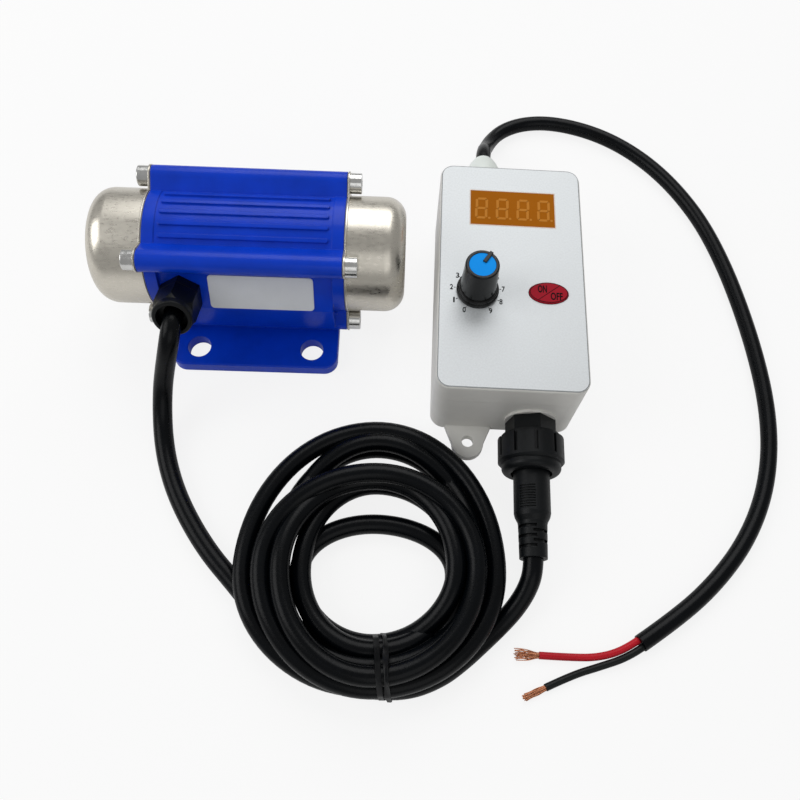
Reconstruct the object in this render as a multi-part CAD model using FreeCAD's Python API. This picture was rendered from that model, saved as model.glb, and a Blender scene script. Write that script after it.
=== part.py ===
import FreeCAD, Part
import math
import os

# Vibration motor with its in-line speed controller and leads. Millimetres, +Z up.
# Origin: centre of the motor foot's underside. +X along the shaft, -Y to the cable gland side.

V = FreeCAD.Vector
X, Y, Z = V(1, 0, 0), V(0, 1, 0), V(0, 0, 1)
ORIGIN = V(0, 0, 0)

# ---- fits and clearances
RUN = 0.05  # radial clearance of a running fit
FIT = 0.02  # radial clearance of a part pushed into its seat
AIR = 0.30  # gap between parts that pass each other

# ---- motor casting
SHAFT_H = 27.5  # shaft axis above the foot's underside
BODY_L = 66.4  # casting, end face to end face
BAND_L = 4.0  # plain band at each end
BAND_R = 20.5  # barrel radius in the bands
BARREL_R = 20.3  # barrel radius between the bands
BORE_R = 16.0
SEAT_R = 17.0  # counterbore that the end shield sits in
SEAT_DEPTH = 5.7
CAST_ROUND = 0.6  # rounded cast edges
RIB_COUNT, RIB_ANGLE, RIB_W, RIB_H = 5, 12.0, 1.5, 0.65  # ribs stand round the barrel's top
RIB_ROOT, RIB_END_GAP = 3.0, 1.2
FOOT_IN, FOOT_W, FOOT_T, FOOT_CORNER = 3.2, 69.0, 5.0, 5.0
FOOT_L = BODY_L - 2 * FOOT_IN
FOOT_HOLE_X, FOOT_HOLE_Y, FOOT_HOLE_R = 41.0, 54.5, 4.2
PEDESTAL_W = 37.0  # width of the web between barrel and foot
SCREW_SQ = 34.0  # side of the square of the cover screws
SCREW_R, SCREW_HEAD_R, SCREW_HEAD_H = 2.0, 3.5, 4.0  # M4 socket head
SCREW_HEX = 3.0
SCREW_DEPTH = 11.0  # thread engaged in the casting
# corner bosses seen along the shaft: radius round each screw, and where a flank leaves the barrel
BOSS_R = 3.8
BOSS_FOOT_ANGLE = 31.0  # from the vertical, and as far from the horizontal
BOSS_FOOT_R = BARREL_R - 0.2
PAD_REACH = 14.0  # how far out the pad's relief is cut clear

# ---- slanted front face for the gland and the nameplate
PAD_ANGLE = 26.0  # leans back from the vertical
PAD_R = 18.3  # distance from the shaft axis
PAD_TOP, PAD_BOTTOM = 4.6, -12.9  # up the face, from the foot of the perpendicular
PLATE_L, PLATE_W, PLATE_T, PLATE_CORNER = 35.6, 13.0, 0.3, 1.4
PLATE_X, PLATE_S = 4.9, -6.0
GLAND_FROM_END, GLAND_S = 10.9, -7.5
GLAND_X = GLAND_FROM_END - BODY_L / 2
GLAND_AF, GLAND_BASE, GLAND_L = 13.0, 3.8, 15.3
GLAND_COLLAR_R, GLAND_COLLAR = 6.7, 2.7
GLAND_THREAD_R, GLAND_BORE_R, GLAND_MOUTH_R = 4.4, 3.7, 5.2
GLAND_TOWER_R, GLAND_TOWER, GLAND_THREAD_L = 4.9, 4.6, 5.0

# ---- end covers
GASKET_T, COVER_T = 0.3, 0.6
COVER_R, COVER_L, COVER_ROUND = 19.9, 20.2, 7.0
FLANGE_OVER = 0.15  # how far the flange stands out over the casting
GASKET_IN = 0.35  # how far the gasket stays inside the casting's edge

# ---- shaft, bearings, stator and rotor
SHAFT_R, SHAFT_MID_R = 4.0, 4.6
SHAFT_TAIL = 2.3  # shaft beyond the outer weight
BEARING_R, BEARING_W, BEARING_INSET = 11.0, 7.0, 0.4
BEARING_X = BODY_L / 2 - SEAT_DEPTH - BEARING_INSET  # inner face of a bearing
SHOULDER_GAP = 1.4
SHAFT_MID_HALF = BEARING_X - SHOULDER_GAP
RACE_OUT_R, RACE_IN_R, BALL_R, BALLS = 9.45, 5.55, 1.9, 7
SHIELD_T, HUB_R, LIP_R, LIP_T = 4.2, 13.5, 8.5, 0.8
RING_W, RING_R, RING_GROOVE_R = 1.0, 17.6, 17.8
STATOR_R, STATOR_IN_R, STATOR_HALF, TEETH = 16.0, 9.0, 13.0, 6
YOKE_T, TOOTH_W, SHOE_T, SHOE_ANGLE = 2.0, 4.0, 1.0, 46.0
COIL_T, COIL_OVER = 2.5, 3.4
ROTOR_R, MAGNET_T, MAGNET_ANGLE, POLES = 6.5, 1.9, 84.0, 4

# ---- eccentric weights
WEIGHT_R, WEIGHT_T, WEIGHT_HUB_R = 16.5, 5.5, 8.0
WEIGHT_X1 = BEARING_X + BEARING_W + 2.0  # inner face of the fixed weight
WEIGHT_X2 = WEIGHT_X1 + WEIGHT_T + AIR  # inner face of the adjustable weight
SHAFT_HALF = WEIGHT_X2 + WEIGHT_T + SHAFT_TAIL
CLAMP_H, CLAMP_W, SLIT_W = 10.5, 7.0, 1.2
CLAMP_SCREW_R, CLAMP_SCREW_HEAD_R, CLAMP_Z = 1.5, 2.5, 7.2
CIRCLIP_R, CIRCLIP_W = 6.0, 0.8

# ---- speed controller box
BOX_X, BOX_Y, BOX_TURN = 90.45, -9.99, -0.97
BOX_W, BOX_L, BOX_H = 50.6, 90.0, 34.6
PARTING = 24.2  # height where lid meets base
WALL, CORNER_R, LID_ROUND = 2.2, 5.0, 1.0
LID_UNDER = BOX_H - 2.4  # underside of the lid's plate
LIP_H, LIP_WALL = 1.5, 1.0
PANEL_INSET, PANEL_T, PANEL_CORNER = 0.5, 0.4, 4.2
POST_R, POST_GAP = 3.0, 0.1
POST_X, POST_Y = BOX_W / 2 - WALL - POST_GAP - POST_R, BOX_L / 2 - WALL - POST_GAP - POST_R
BOX_SCREW_R, BOX_SCREW_HEAD_R, BOX_SCREW_HEAD_H, BOX_SCREW_SINK, BOX_SCREW_GRIP = 1.4, 2.6, 2.0, 2.0, 5.0
EAR_X, EAR_OUT, EAR_ROOT_W, EAR_TIP_R, EAR_T, EAR_HOLE_OUT, EAR_HOLE_R = 11.8, 12.0, 16.4, 5.6, 3.0, 5.9, 2.1
WINDOW_X, WINDOW_FROM_END, WINDOW_L, WINDOW_W = 0.6, 18.5, 30.1, 14.8
WINDOW_Y = BOX_L / 2 - WINDOW_FROM_END
KNOB_FROM_SIDE, KNOB_Y, KNOB_R, KNOB_TOP_R, KNOB_H = 13.45, -8.2, 7.2, 5.55, 15.8
KNOB_X = KNOB_FROM_SIDE - BOX_W / 2
KNOB_SKIRT_T, KNOB_BODY_R, KNOB_TURN = 2.6, 6.3, -32.0
KNOB_STEP_T, KNOB_STEP = 1.2, 0.35  # the skirt's upper tier stands back from its lower one
CAP_R, CAP_SINK = 4.4, 0.6
POT_R, POT_H, BUSH_R, POT_SHAFT_R = 8.0, 7.6, 3.5, 3.0
NUT_AF, NUT_T = 10.0, 2.0
BUTTON_FROM_SIDE, BUTTON_Y, BUTTON_A, BUTTON_B, BUTTON_TRAVEL = 12.9, -8.0, 6.7, 4.1, 0.5
BUTTON_X = BOX_W / 2 - BUTTON_FROM_SIDE
BUTTON_PROUD, BUTTON_STEM_R = 0.6, 1.7
BOARD_SIDE_GAP, BOARD_END_GAP, BOARD_T, BOARD_Z = 1.1, 4.3, 1.6, 17.6
BOARD_L, BOARD_W = BOX_L - 2 * (WALL + BOARD_END_GAP), BOX_W - 2 * (WALL + BOARD_SIDE_GAP)
BOARD_TOP = BOARD_Z + BOARD_T
BOARD_POST_R = 2.5
BOARD_POST_X, BOARD_POST_Y = BOARD_W / 2 - 6.0, BOARD_L / 2 - 5.0
CAPACITOR_R, CAPACITOR_H, CAPACITOR_PITCH, CAPACITOR_Y = 4.0, 9.5, 10.0, 10.0
CHOKE_R, CHOKE_HOLE_R, CHOKE_H, CHOKE_X = 5.0, 2.4, 5.0, 8.0
TRANSISTOR_L, TRANSISTOR_W, TRANSISTOR_H, TRANSISTOR_PITCH, TRANSISTOR_Y = 9.5, 6.5, 2.4, 9.0, -28.0

# ---- supply gland on the far end of the box
SUPPLY_FROM_SIDE, SUPPLY_Z = 17.3, 17.0
SUPPLY_X = SUPPLY_FROM_SIDE - BOX_W / 2
SUPPLY_AF, SUPPLY_BASE, SUPPLY_NUT_R, SUPPLY_NUT_L = 13.0, 3.8, 7.0, 13.4
SUPPLY_DOME, SUPPLY_SHOULDER_R, SUPPLY_TIP_R = 8.0, 5.9, 3.6  # the nut's rounded end
SUPPLY_MOUTH_R, SUPPLY_THREAD_R, SUPPLY_BORE_R = 3.1, 5.2, 3.1
SUPPLY_THREAD_IN, SUPPLY_THREAD_OUT, SUPPLY_GRIP_L = 3.0, 6.5, 4.5
NUT_GAP = 0.2  # between a gland's body and its nut

# ---- screw connector on the near end of the box; distances run out from the box face
PLUG_FROM_SIDE, PLUG_Z = 16.15, 11.5
PLUG_X = BOX_W / 2 - PLUG_FROM_SIDE
SEAL_R, SEAL_T = 9.0, 0.9
SOCKET_AF, SOCKET_TURN, SOCKET_HEX_T, SOCKET_BARREL_R = 15.2, 13.0, 5.4, 7.4
SOCKET_BORE_R, SOCKET_BACK = 5.8, 5.4
SOCKET_THREAD_R, SOCKET_NUT_AF = 6.2, 15.0
NUT_R, NUT_RIB, NUT_RIBS, NUT_START, NUT_RIB_START = 10.1, 1.2, 10, 6.7, 7.9
NUT_RIB_END, NUT_SLOT_END, NUT_SLOT_W, NUT_END, NUT_END_ROUND = 16.9, 15.0, 1.1, 20.2, 2.0
NUT_BORE_R, NUT_SHOULDER, NUT_SHOULDER_T, NUT_HOLE_R, NUT_MOUTH_R = 7.45, 16.0, 1.6, 6.0, 7.0
PLUG_FLANGE_R, PLUG_FLANGE_T, PLUG_NECK_R, PLUG_R = 7.3, 2.2, 5.6, 6.15
PLUG_FLANGE_END = NUT_SHOULDER - 0.2
SOCKET_END = PLUG_FLANGE_END - PLUG_FLANGE_T - 0.3
PLUG_BODY_END, PLUG_TAPER_END, PLUG_END = 34.0, 37.0, 49.0
RELIEF_R, RELIEF_TIP_R, RELIEF_SLOTS, RELIEF_SLOT_W = 4.85, 4.6, 5, 1.05
RELIEF_SLOT_START, RELIEF_PITCH, RELIEF_LAP, RELIEF_WALL = 38.3, 1.65, 0.6, 0.4
GRIP_START, GRIP_PITCH, GRIPS, GRIP_L, GRIP_W, GRIP_DEPTH, GRIP_TURN = 25.7, 0.9, 9, 5.4, 0.45, 0.4, -25.0
PLUG_NOSE_R, PLUG_NOSE_START, PIN_R = 5.6, 9.4, 0.8

# ---- cords: radius, and the points that their routes turn at, chosen by hand
CORD_R = 3.3
LEAD_START, LEAD_STRAIGHT = 6.4, 6.2  # on the gland's axis: inside it, and straight out
SUPPLY_R = 2.9
CORE_R = 1.2
STRAND_R, STRAND_END_R = 0.7, 1.3
LEAD_ROUTE = (  # goes on from the motor's gland
    (-22.7, -37.6, 33.6),
    (-24.4, -41.8, 28.0),
    (-26.8, -44.4, 20.4),
    (-28.8, -48.2, 13.2),
    (-29.4, -55.0, 7.6),
    (-28.6, -63.6, 4.2),
    (-26.0, -73.0, 3.3),
    (-21.6, -83.2, 3.3),
    (-15.2, -93.8, 3.3),
    (-7.6, -103.8, 3.3),
    (0.6, -112.2, 3.3),
)
TAIL_ROUTE = (  # ends in the plug
    (81.8, -129.0, 3.3),
    (86.8, -124.6, 3.6),
    (91.4, -119.6, 5.4),
    (95.2, -114.2, 8.6),
)
SUPPLY_ROUTE = (  # goes on from the supply gland
    (84.6, 61.4, 13.6),
    (85.6, 66.8, 7.6),
    (88.9, 75.8, 3.9),
    (94.4, 82.2, 2.9),
    (102.6, 86.0, 2.9),
    (112.8, 87.2, 2.9),
    (124.2, 85.4, 2.9),
    (135.8, 81.2, 2.9),
    (146.8, 74.4, 2.9),
    (157.2, 64.8, 2.9),
    (166.2, 52.8, 2.9),
    (174.2, 37.6, 2.9),
    (180.2, 18.8, 2.9),
    (184.4, -1.6, 2.9),
    (187.2, -22.4, 2.9),
    (188.2, -42.4, 2.9),
    (186.4, -61.2, 2.9),
    (181.4, -78.4, 2.9),
    (172.8, -94.2, 2.9),
    (161.2, -107.8, 2.9),
    (147.6, -119.4, 2.9),
    (133.2, -128.8, 2.9),
)
RED_ROUTE = (  # goes on from the end of the jacket
    (119.4, -133.3, 1.5),
    (110.2, -133.4, 1.2),
    (100.4, -133.0, 1.2),
)
BLACK_ROUTE = (
    (119.4, -136.2, 1.4),
    (110.8, -138.8, 1.2),
    (102.0, -142.8, 1.2),
)
CORE_STRAIGHT = 6.0  # how far the cores go on straight out of the jacket
STRAND_L = 8.0

# ---- the tied coil: its outer turn is a circle on the floor, and its hole an oval
COIL_X, COIL_Y, COIL_R, COIL_H = 45.1, -102.6, 46.3, 15.6
HOLE_X, HOLE_Y, HOLE_A, HOLE_B, COIL_ROUND = 47.9, -111.4, 21.4, 16.6, 3.2
TIE_X, TIE_SLANT, TIE_R = 50.0, 3.0, 0.9


# ---------------------------------------------------------------- helpers
def cyl(radius, length, at=ORIGIN, axis=Z):
    return Part.makeCylinder(radius, length, at, axis)


def ring(outer, inner, length, at=ORIGIN, axis=Z):
    start = at - axis * 1.0
    return cyl(outer, length, at, axis).cut(cyl(inner, length + 2.0, start, axis))


def block(length, width, height, centre=ORIGIN):
    """Box with its footprint centred and its underside at the centre's height."""
    corner = V(centre.x - length / 2, centre.y - width / 2, centre.z)
    return Part.makeBox(length, width, height, corner)


def polygon(points):
    return Part.Face(Part.makePolygon([V(*p) for p in points] + [V(*points[0])]))


def prism_x(points, x0, x1):
    """Outline of (y, z) points, extruded along the shaft."""
    return polygon([(x0, y, z) for y, z in points]).extrude(V(x1 - x0, 0, 0))


def union(shapes):
    return shapes[0].fuse(shapes[1:]).removeSplitter() if len(shapes) > 1 else shapes[0]


def hexagon(flats, length, at, axis):
    """Hexagon bar with a corner upwards."""
    side = V(1, 0, 0) if abs(axis.x) < 0.5 else V(0, 1, 0)
    up = axis.cross(side)
    radius = flats / math.sqrt(3)
    points = []
    for i in range(6):
        a = math.radians(90 + 60 * i)
        points.append(at + side * (radius * math.cos(a)) + up * (radius * math.sin(a)))
    return Part.Face(Part.makePolygon(points + points[:1])).extrude(axis * length)


def rounded_plate(length, width, height, radius, centre=ORIGIN):
    plate = block(length, width, height, centre)
    upright = [e for e in plate.Edges if abs(e.tangentAt(e.FirstParameter).z) > 0.99]
    return plate.makeFillet(radius, upright)


def revolve_x(points, x_sign=1):
    """Outline of (x, r) points turned round the shaft axis."""
    face = polygon([(x_sign * x, 0, SHAFT_H + r) for x, r in points])
    return face.revolve(V(0, 0, SHAFT_H), X, 360)


def mirror_x(shape):
    return shape.mirror(ORIGIN, X)


def about_x(shape, degrees):
    turned = shape.copy()
    turned.rotate(V(0, 0, SHAFT_H), X, degrees)
    return turned


def edges_at(shape, axis, value, tolerance=0.01):
    """Edges that lie wholly in the plane where the named coordinate has this value."""
    found = []
    for e in shape.Edges:
        box = e.BoundBox
        low, high = getattr(box, axis + "Min"), getattr(box, axis + "Max")
        if abs(low - value) < tolerance and abs(high - value) < tolerance:
            found.append(e)
    return found


def export(name, shape):
    shape.exportStep("parts/" + name + ".step")


def export_group(name, shapes):
    export(name, Part.makeCompound(shapes))


# ---------------------------------------------------------------- motor casting
PAD_N = V(0, -math.cos(math.radians(PAD_ANGLE)), math.sin(math.radians(PAD_ANGLE)))
PAD_UP = V(0, math.sin(math.radians(PAD_ANGLE)), math.cos(math.radians(PAD_ANGLE)))
GLAND_DOWN = PAD_UP * -1


def on_pad(x, s, h=0.0):
    """Point on the slanted face: x along the shaft, s up the face, h out of it."""
    return V(x, 0, SHAFT_H) + PAD_N * (PAD_R + h) + PAD_UP * s


def boss_flank(over):
    """Foot and tangent point of a boss's upper flank, as (across, up) from the shaft."""
    angle = math.radians(BOSS_FOOT_ANGLE)
    foot_a, foot_b = (BOSS_FOOT_R + over) * math.sin(angle), (BOSS_FOOT_R + over) * math.cos(angle)
    a, b = SCREW_SQ / 2 - foot_a, SCREW_SQ / 2 - foot_b
    reach = math.hypot(a, b)
    lean = math.atan2(b, a) + math.asin((BOSS_R + over) / reach)
    length = math.sqrt(reach**2 - (BOSS_R + over) ** 2)
    return (foot_a, foot_b), (foot_a + length * math.cos(lean), foot_b + length * math.sin(lean))


def lobed_section(radius, over, x0, x1):
    """Barrel with the four screw bosses, between two planes across the shaft."""
    foot, tangent = boss_flank(over)
    inside = BORE_R * math.sqrt(0.5)
    outline = [foot, tangent, tangent[::-1], foot[::-1], (inside, inside)]
    parts = [cyl(radius + over, x1 - x0, V(x0, 0, SHAFT_H), X)]
    for y, z in screw_places():
        side, up = math.copysign(1, y), math.copysign(1, z - SHAFT_H)
        parts.append(cyl(BOSS_R + over, x1 - x0, V(x0, y, z), X))
        parts.append(prism_x([(side * a, SHAFT_H + up * b) for a, b in outline], x0, x1))
    return union(parts)


def screw_places():
    half = SCREW_SQ / 2
    return [(y, SHAFT_H + z) for y in (-half, half) for z in (-half, half)]


def foot():
    slab = rounded_plate(FOOT_L, FOOT_W, FOOT_T, FOOT_CORNER)
    slab = slab.makeFillet(CAST_ROUND, edges_at(slab, "Z", FOOT_T))
    for x in (-FOOT_HOLE_X / 2, FOOT_HOLE_X / 2):
        for y in (-FOOT_HOLE_Y / 2, FOOT_HOLE_Y / 2):
            slab = slab.cut(cyl(FOOT_HOLE_R, FOOT_T + 2, V(x, y, -1)))
    web = block(FOOT_L, PEDESTAL_W, SHAFT_H - BARREL_R / 2 - FOOT_T, V(0, 0, FOOT_T))
    return union([slab, web])


def top_ribs():
    half = BODY_L / 2 - BAND_L - RIB_END_GAP
    ribs = []
    for i in range(RIB_COUNT):
        base = V(0, 0, SHAFT_H + BARREL_R - RIB_ROOT)
        bar = block(2 * half - RIB_W, RIB_W, RIB_ROOT + RIB_H, base)
        ends = [cyl(RIB_W / 2, RIB_ROOT + RIB_H, base + X * (s * (half - RIB_W / 2))) for s in (-1, 1)]
        ribs.append(about_x(union([bar] + ends), (i - (RIB_COUNT - 1) / 2) * RIB_ANGLE))
    return ribs


def front_pad(x0, x1):
    """The wedge under the slanted face, down to the lower boss."""
    crease, top = on_pad(0, PAD_BOTTOM), on_pad(0, PAD_TOP - 2.0)
    boss_y, boss_z = -SCREW_SQ / 2 - BOSS_R, SHAFT_H - SCREW_SQ / 2
    outline = [
        (top.y, top.z),
        (crease.y, crease.z),
        (boss_y, boss_z),
        (-BORE_R, boss_z),
        (-8.0, SHAFT_H),
    ]
    return prism_x(outline, x0, x1)


def pad_relief(x0, x1):
    """What the slanted face takes off the barrel and the upper boss."""
    corners = [
        on_pad(0, PAD_TOP),
        on_pad(0, PAD_BOTTOM),
        on_pad(0, PAD_BOTTOM, PAD_REACH),
        on_pad(0, PAD_TOP, PAD_REACH),
    ]
    return prism_x([(p.y, p.z) for p in corners], x0, x1)


def motor_frame():
    end, inner = BODY_L / 2, BODY_L / 2 - BAND_L
    middle = union([lobed_section(BARREL_R, 0, -inner, inner)] + top_ribs())
    middle = union([middle, front_pad(-inner, inner)]).cut(pad_relief(-inner, inner))
    bands = [lobed_section(BAND_R, 0, a, a + BAND_L) for a in (-end, inner)]
    entry = cyl(GLAND_AF / 2 + 1.6, 9.0, on_pad(GLAND_X, GLAND_S, -9.0), PAD_N)
    body = union([middle] + bands + [foot(), entry])
    body = body.cut(cyl(BORE_R, BODY_L + 2, V(-end - 1, 0, SHAFT_H), X))
    for side in (-1, 1):
        seat = cyl(SEAT_R, SEAT_DEPTH + 1, V(side * (end - SEAT_DEPTH), 0, SHAFT_H), X * side)
        groove_x = end - SEAT_DEPTH + SHIELD_T
        groove = cyl(RING_GROOVE_R, RING_W, V(side * groove_x, 0, SHAFT_H), X * side)
        holes = [
            cyl(SCREW_R + RUN, SCREW_DEPTH + 2, V(side * (end + 1), y, z), X * -side)
            for y, z in screw_places()
        ]
        body = body.cut(Part.makeCompound([seat, groove]).fuse(holes))
    return body.cut(cyl(GLAND_THREAD_R, 12.0, on_pad(GLAND_X, GLAND_S, -11.0), PAD_N))


def nameplate():
    plate = rounded_plate(PLATE_L, PLATE_W, PLATE_T, PLATE_CORNER)
    plate.rotate(ORIGIN, X, 90 - PAD_ANGLE)
    plate.translate(on_pad(PLATE_X, PLATE_S))
    return plate


# ---------------------------------------------------------------- motor end covers
def flange_plate(x0, thickness, over, hole_r):
    plate = lobed_section(BAND_R, over, x0, x0 + thickness)
    plate = plate.cut(cyl(hole_r, thickness + 2, V(x0 - 1, 0, SHAFT_H), X))
    for y, z in screw_places():
        plate = plate.cut(cyl(SCREW_R + 0.2, thickness + 2, V(x0 - 1, y, z), X))
    return plate


def gasket():
    return flange_plate(BODY_L / 2, GASKET_T, -GASKET_IN, COVER_R - COVER_T)


def end_cover():
    x0 = BODY_L / 2 + GASKET_T
    cup = cyl(COVER_R, COVER_L, V(x0, 0, SHAFT_H), X)
    cup = cup.makeFillet(COVER_ROUND, edges_at(cup, "X", x0 + COVER_L))
    inner_r = COVER_R - COVER_T
    hollow = cyl(inner_r, COVER_L - COVER_T, V(x0, 0, SHAFT_H), X)
    hollow = hollow.makeFillet(COVER_ROUND - COVER_T, edges_at(hollow, "X", x0 + COVER_L - COVER_T))
    return union([flange_plate(x0, COVER_T, FLANGE_OVER, inner_r), cup]).cut(hollow)


def cap_screw(x0, y, z, shank_r, shank_l, head_r, head_h, hex_af, axis=X):
    """Socket head screw: the head sits on x0 and the shank runs back along -axis."""
    at = V(x0, y, z)
    head = cyl(head_r, head_h, at, axis)
    top = at + axis * head_h
    crown = [e for e in head.Edges if e.Closed and (e.CenterOfMass - top).Length < 0.01]
    head = head.makeFillet(0.3, crown)
    socket = hexagon(hex_af, head_h / 2 + 0.1, at + axis * (head_h / 2), axis)
    return union([head, cyl(shank_r, shank_l, at, axis * -1)]).cut(socket)


def cover_screws():
    x0 = BODY_L / 2 + GASKET_T + COVER_T
    length = GASKET_T + COVER_T + SCREW_DEPTH
    right = [
        cap_screw(x0, y, z, SCREW_R, length, SCREW_HEAD_R, SCREW_HEAD_H, SCREW_HEX)
        for y, z in screw_places()
    ]
    return right + [mirror_x(s) for s in right]


# ---------------------------------------------------------------- shaft line
def end_shield():
    face = BODY_L / 2 - SEAT_DEPTH
    seat = BEARING_X
    outline = [
        (seat - LIP_T, LIP_R),
        (seat, LIP_R),
        (seat, BEARING_R + FIT),
        (seat + BEARING_W, BEARING_R + FIT),
        (seat + BEARING_W, HUB_R),
        (face + SHIELD_T, HUB_R),
        (face + SHIELD_T, SEAT_R - FIT),
        (face, SEAT_R - FIT),
        (face, HUB_R),
        (seat - LIP_T, HUB_R),
    ]
    return revolve_x(outline)


def shield_ring():
    """Internal retaining ring, open at the bottom."""
    x0 = BODY_L / 2 - SEAT_DEPTH + SHIELD_T + FIT
    whole = ring(RING_R, RING_R - 2.0, RING_W - 2 * FIT, V(x0, 0, SHAFT_H), X)
    return whole.cut(block(2 * RING_W, 6.0, RING_R + 2, V(x0 + RING_W / 2, 0, SHAFT_H - RING_R - 2)))


def bearing_races(inner):
    a, b = (RACE_IN_R, SHAFT_R + FIT) if inner else (BEARING_R, RACE_OUT_R)
    right = ring(a, b, BEARING_W, V(BEARING_X, 0, SHAFT_H), X)
    return [right, mirror_x(right)]


def bearing_balls():
    balls = []
    for side in (-1, 1):
        for i in range(BALLS):
            a = math.tau * i / BALLS
            pitch = (RACE_OUT_R + RACE_IN_R) / 2
            centre = V(side * (BEARING_X + BEARING_W / 2), pitch * math.cos(a), SHAFT_H + pitch * math.sin(a))
            balls.append(Part.makeSphere(BALL_R, centre))
    return balls


def motor_shaft():
    half, mid = SHAFT_HALF, SHAFT_MID_HALF
    shaft = union([
        cyl(SHAFT_R, 2 * half, V(-half, 0, SHAFT_H), X),
        cyl(SHAFT_MID_R, 2 * mid, V(-mid, 0, SHAFT_H), X),
    ])
    ends = edges_at(shaft, "X", half) + edges_at(shaft, "X", -half)
    shaft = shaft.makeChamfer(0.5, ends)
    for side in (-1, 1):
        x0 = side * (WEIGHT_X2 + WEIGHT_T + AIR)
        groove = ring(SHAFT_R + 1, SHAFT_R - 0.5, CIRCLIP_W, V(x0, 0, SHAFT_H), X * side)
        shaft = shaft.cut(groove)
    return shaft


def stator_core():
    yoke = ring(STATOR_R - FIT, STATOR_R - YOKE_T, 2 * STATOR_HALF, V(-STATOR_HALF, 0, SHAFT_H), X)
    teeth = []
    for i in range(TEETH):
        neck = STATOR_R - YOKE_T - STATOR_IN_R - SHOE_T / 2 + 1.0
        tooth = block(2 * STATOR_HALF, TOOTH_W, neck, V(0, 0, SHAFT_H + STATOR_IN_R + SHOE_T / 2))
        shoe = sector_ring(STATOR_IN_R, STATOR_IN_R + SHOE_T, SHOE_ANGLE, -STATOR_HALF, STATOR_HALF)
        teeth += [about_x(tooth, 360 * i / TEETH), about_x(shoe, 360 * i / TEETH)]
    return union([yoke] + teeth)


def sector_ring(inner, outer, degrees, x0, x1):
    """Part of a ring round the shaft, centred straight up."""
    a = math.radians(degrees / 2)
    arcs = []
    for r in (inner, outer):
        left, top, right = [V(x0, r * math.sin(t), SHAFT_H + r * math.cos(t)) for t in (-a, 0, a)]
        arcs.append((left, Part.Arc(left, top, right).toShape(), right))
    (l0, arc0, r0), (l1, arc1, r1) = arcs
    wire = Part.Wire(Part.__sortEdges__([arc0, Part.makeLine(r0, r1), arc1, Part.makeLine(l1, l0)]))
    return Part.Face(wire).extrude(V(x1 - x0, 0, 0))


def stator_windings():
    inner = STATOR_IN_R + SHOE_T + 0.2
    height = STATOR_R - YOKE_T - inner - 1.0
    at = V(0, 0, SHAFT_H + inner)
    outer = block(2 * (STATOR_HALF + COIL_OVER), TOOTH_W + 2 * COIL_T, height, at)
    outer = outer.makeFillet(COIL_T, [e for e in outer.Edges if abs(e.tangentAt(e.FirstParameter).z) > 0.99])
    core = block(2 * STATOR_HALF + 0.6, TOOTH_W + 0.1, height + 2, at - Z)
    coil = outer.cut(core)
    return [about_x(coil, 360 * i / TEETH) for i in range(TEETH)]


def rotor_magnets():
    magnet = sector_ring(ROTOR_R, ROTOR_R + MAGNET_T, MAGNET_ANGLE, -STATOR_HALF + 0.5, STATOR_HALF - 0.5)
    return [about_x(magnet, 45 + 360 * i / POLES) for i in range(POLES)]


# ---------------------------------------------------------------- eccentric weights
def eccentric_weight(x0, bore_r):
    """Half disc hanging down from a split hub that a screw clamps on the shaft."""
    at = V(x0, 0, SHAFT_H)
    disc = cyl(WEIGHT_R, WEIGHT_T, at, X)
    disc = disc.cut(block(4 * WEIGHT_T, 3 * WEIGHT_R, WEIGHT_R + 1, V(x0, 0, SHAFT_H)))
    ears = block(WEIGHT_T, 2 * CLAMP_W, CLAMP_H, V(x0 + WEIGHT_T / 2, 0, SHAFT_H))
    weight = union([disc, cyl(WEIGHT_HUB_R, WEIGHT_T, at, X), ears])
    weight = weight.cut(cyl(bore_r, WEIGHT_T + 2, at - X, X))
    slit = block(WEIGHT_T + 2, SLIT_W, CLAMP_H + 1, V(x0 + WEIGHT_T / 2, 0, SHAFT_H))
    bolt = cyl(CLAMP_SCREW_R + RUN, 4 * CLAMP_W, V(x0 + WEIGHT_T / 2, -2 * CLAMP_W, SHAFT_H + CLAMP_Z), Y)
    return weight.cut(slit).cut(bolt)


def clamp_screw(x0):
    length = 2 * CLAMP_W - 1.0
    return cap_screw(
        x0 + WEIGHT_T / 2, CLAMP_W, SHAFT_H + CLAMP_Z, CLAMP_SCREW_R, length, CLAMP_SCREW_HEAD_R, 2.6, 2.0, Y
    )


def shaft_circlip(side):
    x0 = side * (WEIGHT_X2 + WEIGHT_T + AIR + FIT)
    clip = ring(CIRCLIP_R, SHAFT_R - 0.5 + FIT, CIRCLIP_W - 2 * FIT, V(x0, 0, SHAFT_H), X * side)
    return clip.cut(block(4, 3.0, CIRCLIP_R + 2, V(x0 + side * CIRCLIP_W / 2, 0, SHAFT_H)))


# ---------------------------------------------------------------- motor cable gland
def gland_at(h):
    return on_pad(GLAND_X, GLAND_S, h)


def gland_hexagon(length, h):
    bar = hexagon(GLAND_AF, length, ORIGIN, Y * -1)
    bar.rotate(ORIGIN, X, -PAD_ANGLE)
    bar.translate(gland_at(h))
    return bar


def gland_body():
    parts = [
        gland_hexagon(GLAND_BASE, 0),
        cyl(GLAND_THREAD_R - RUN, GLAND_THREAD_L, gland_at(-GLAND_THREAD_L), PAD_N),
        cyl(GLAND_TOWER_R, GLAND_TOWER, gland_at(GLAND_BASE), PAD_N),
    ]
    return union(parts).cut(cyl(GLAND_BORE_R, 3 * GLAND_L, gland_at(-GLAND_L), PAD_N))


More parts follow.
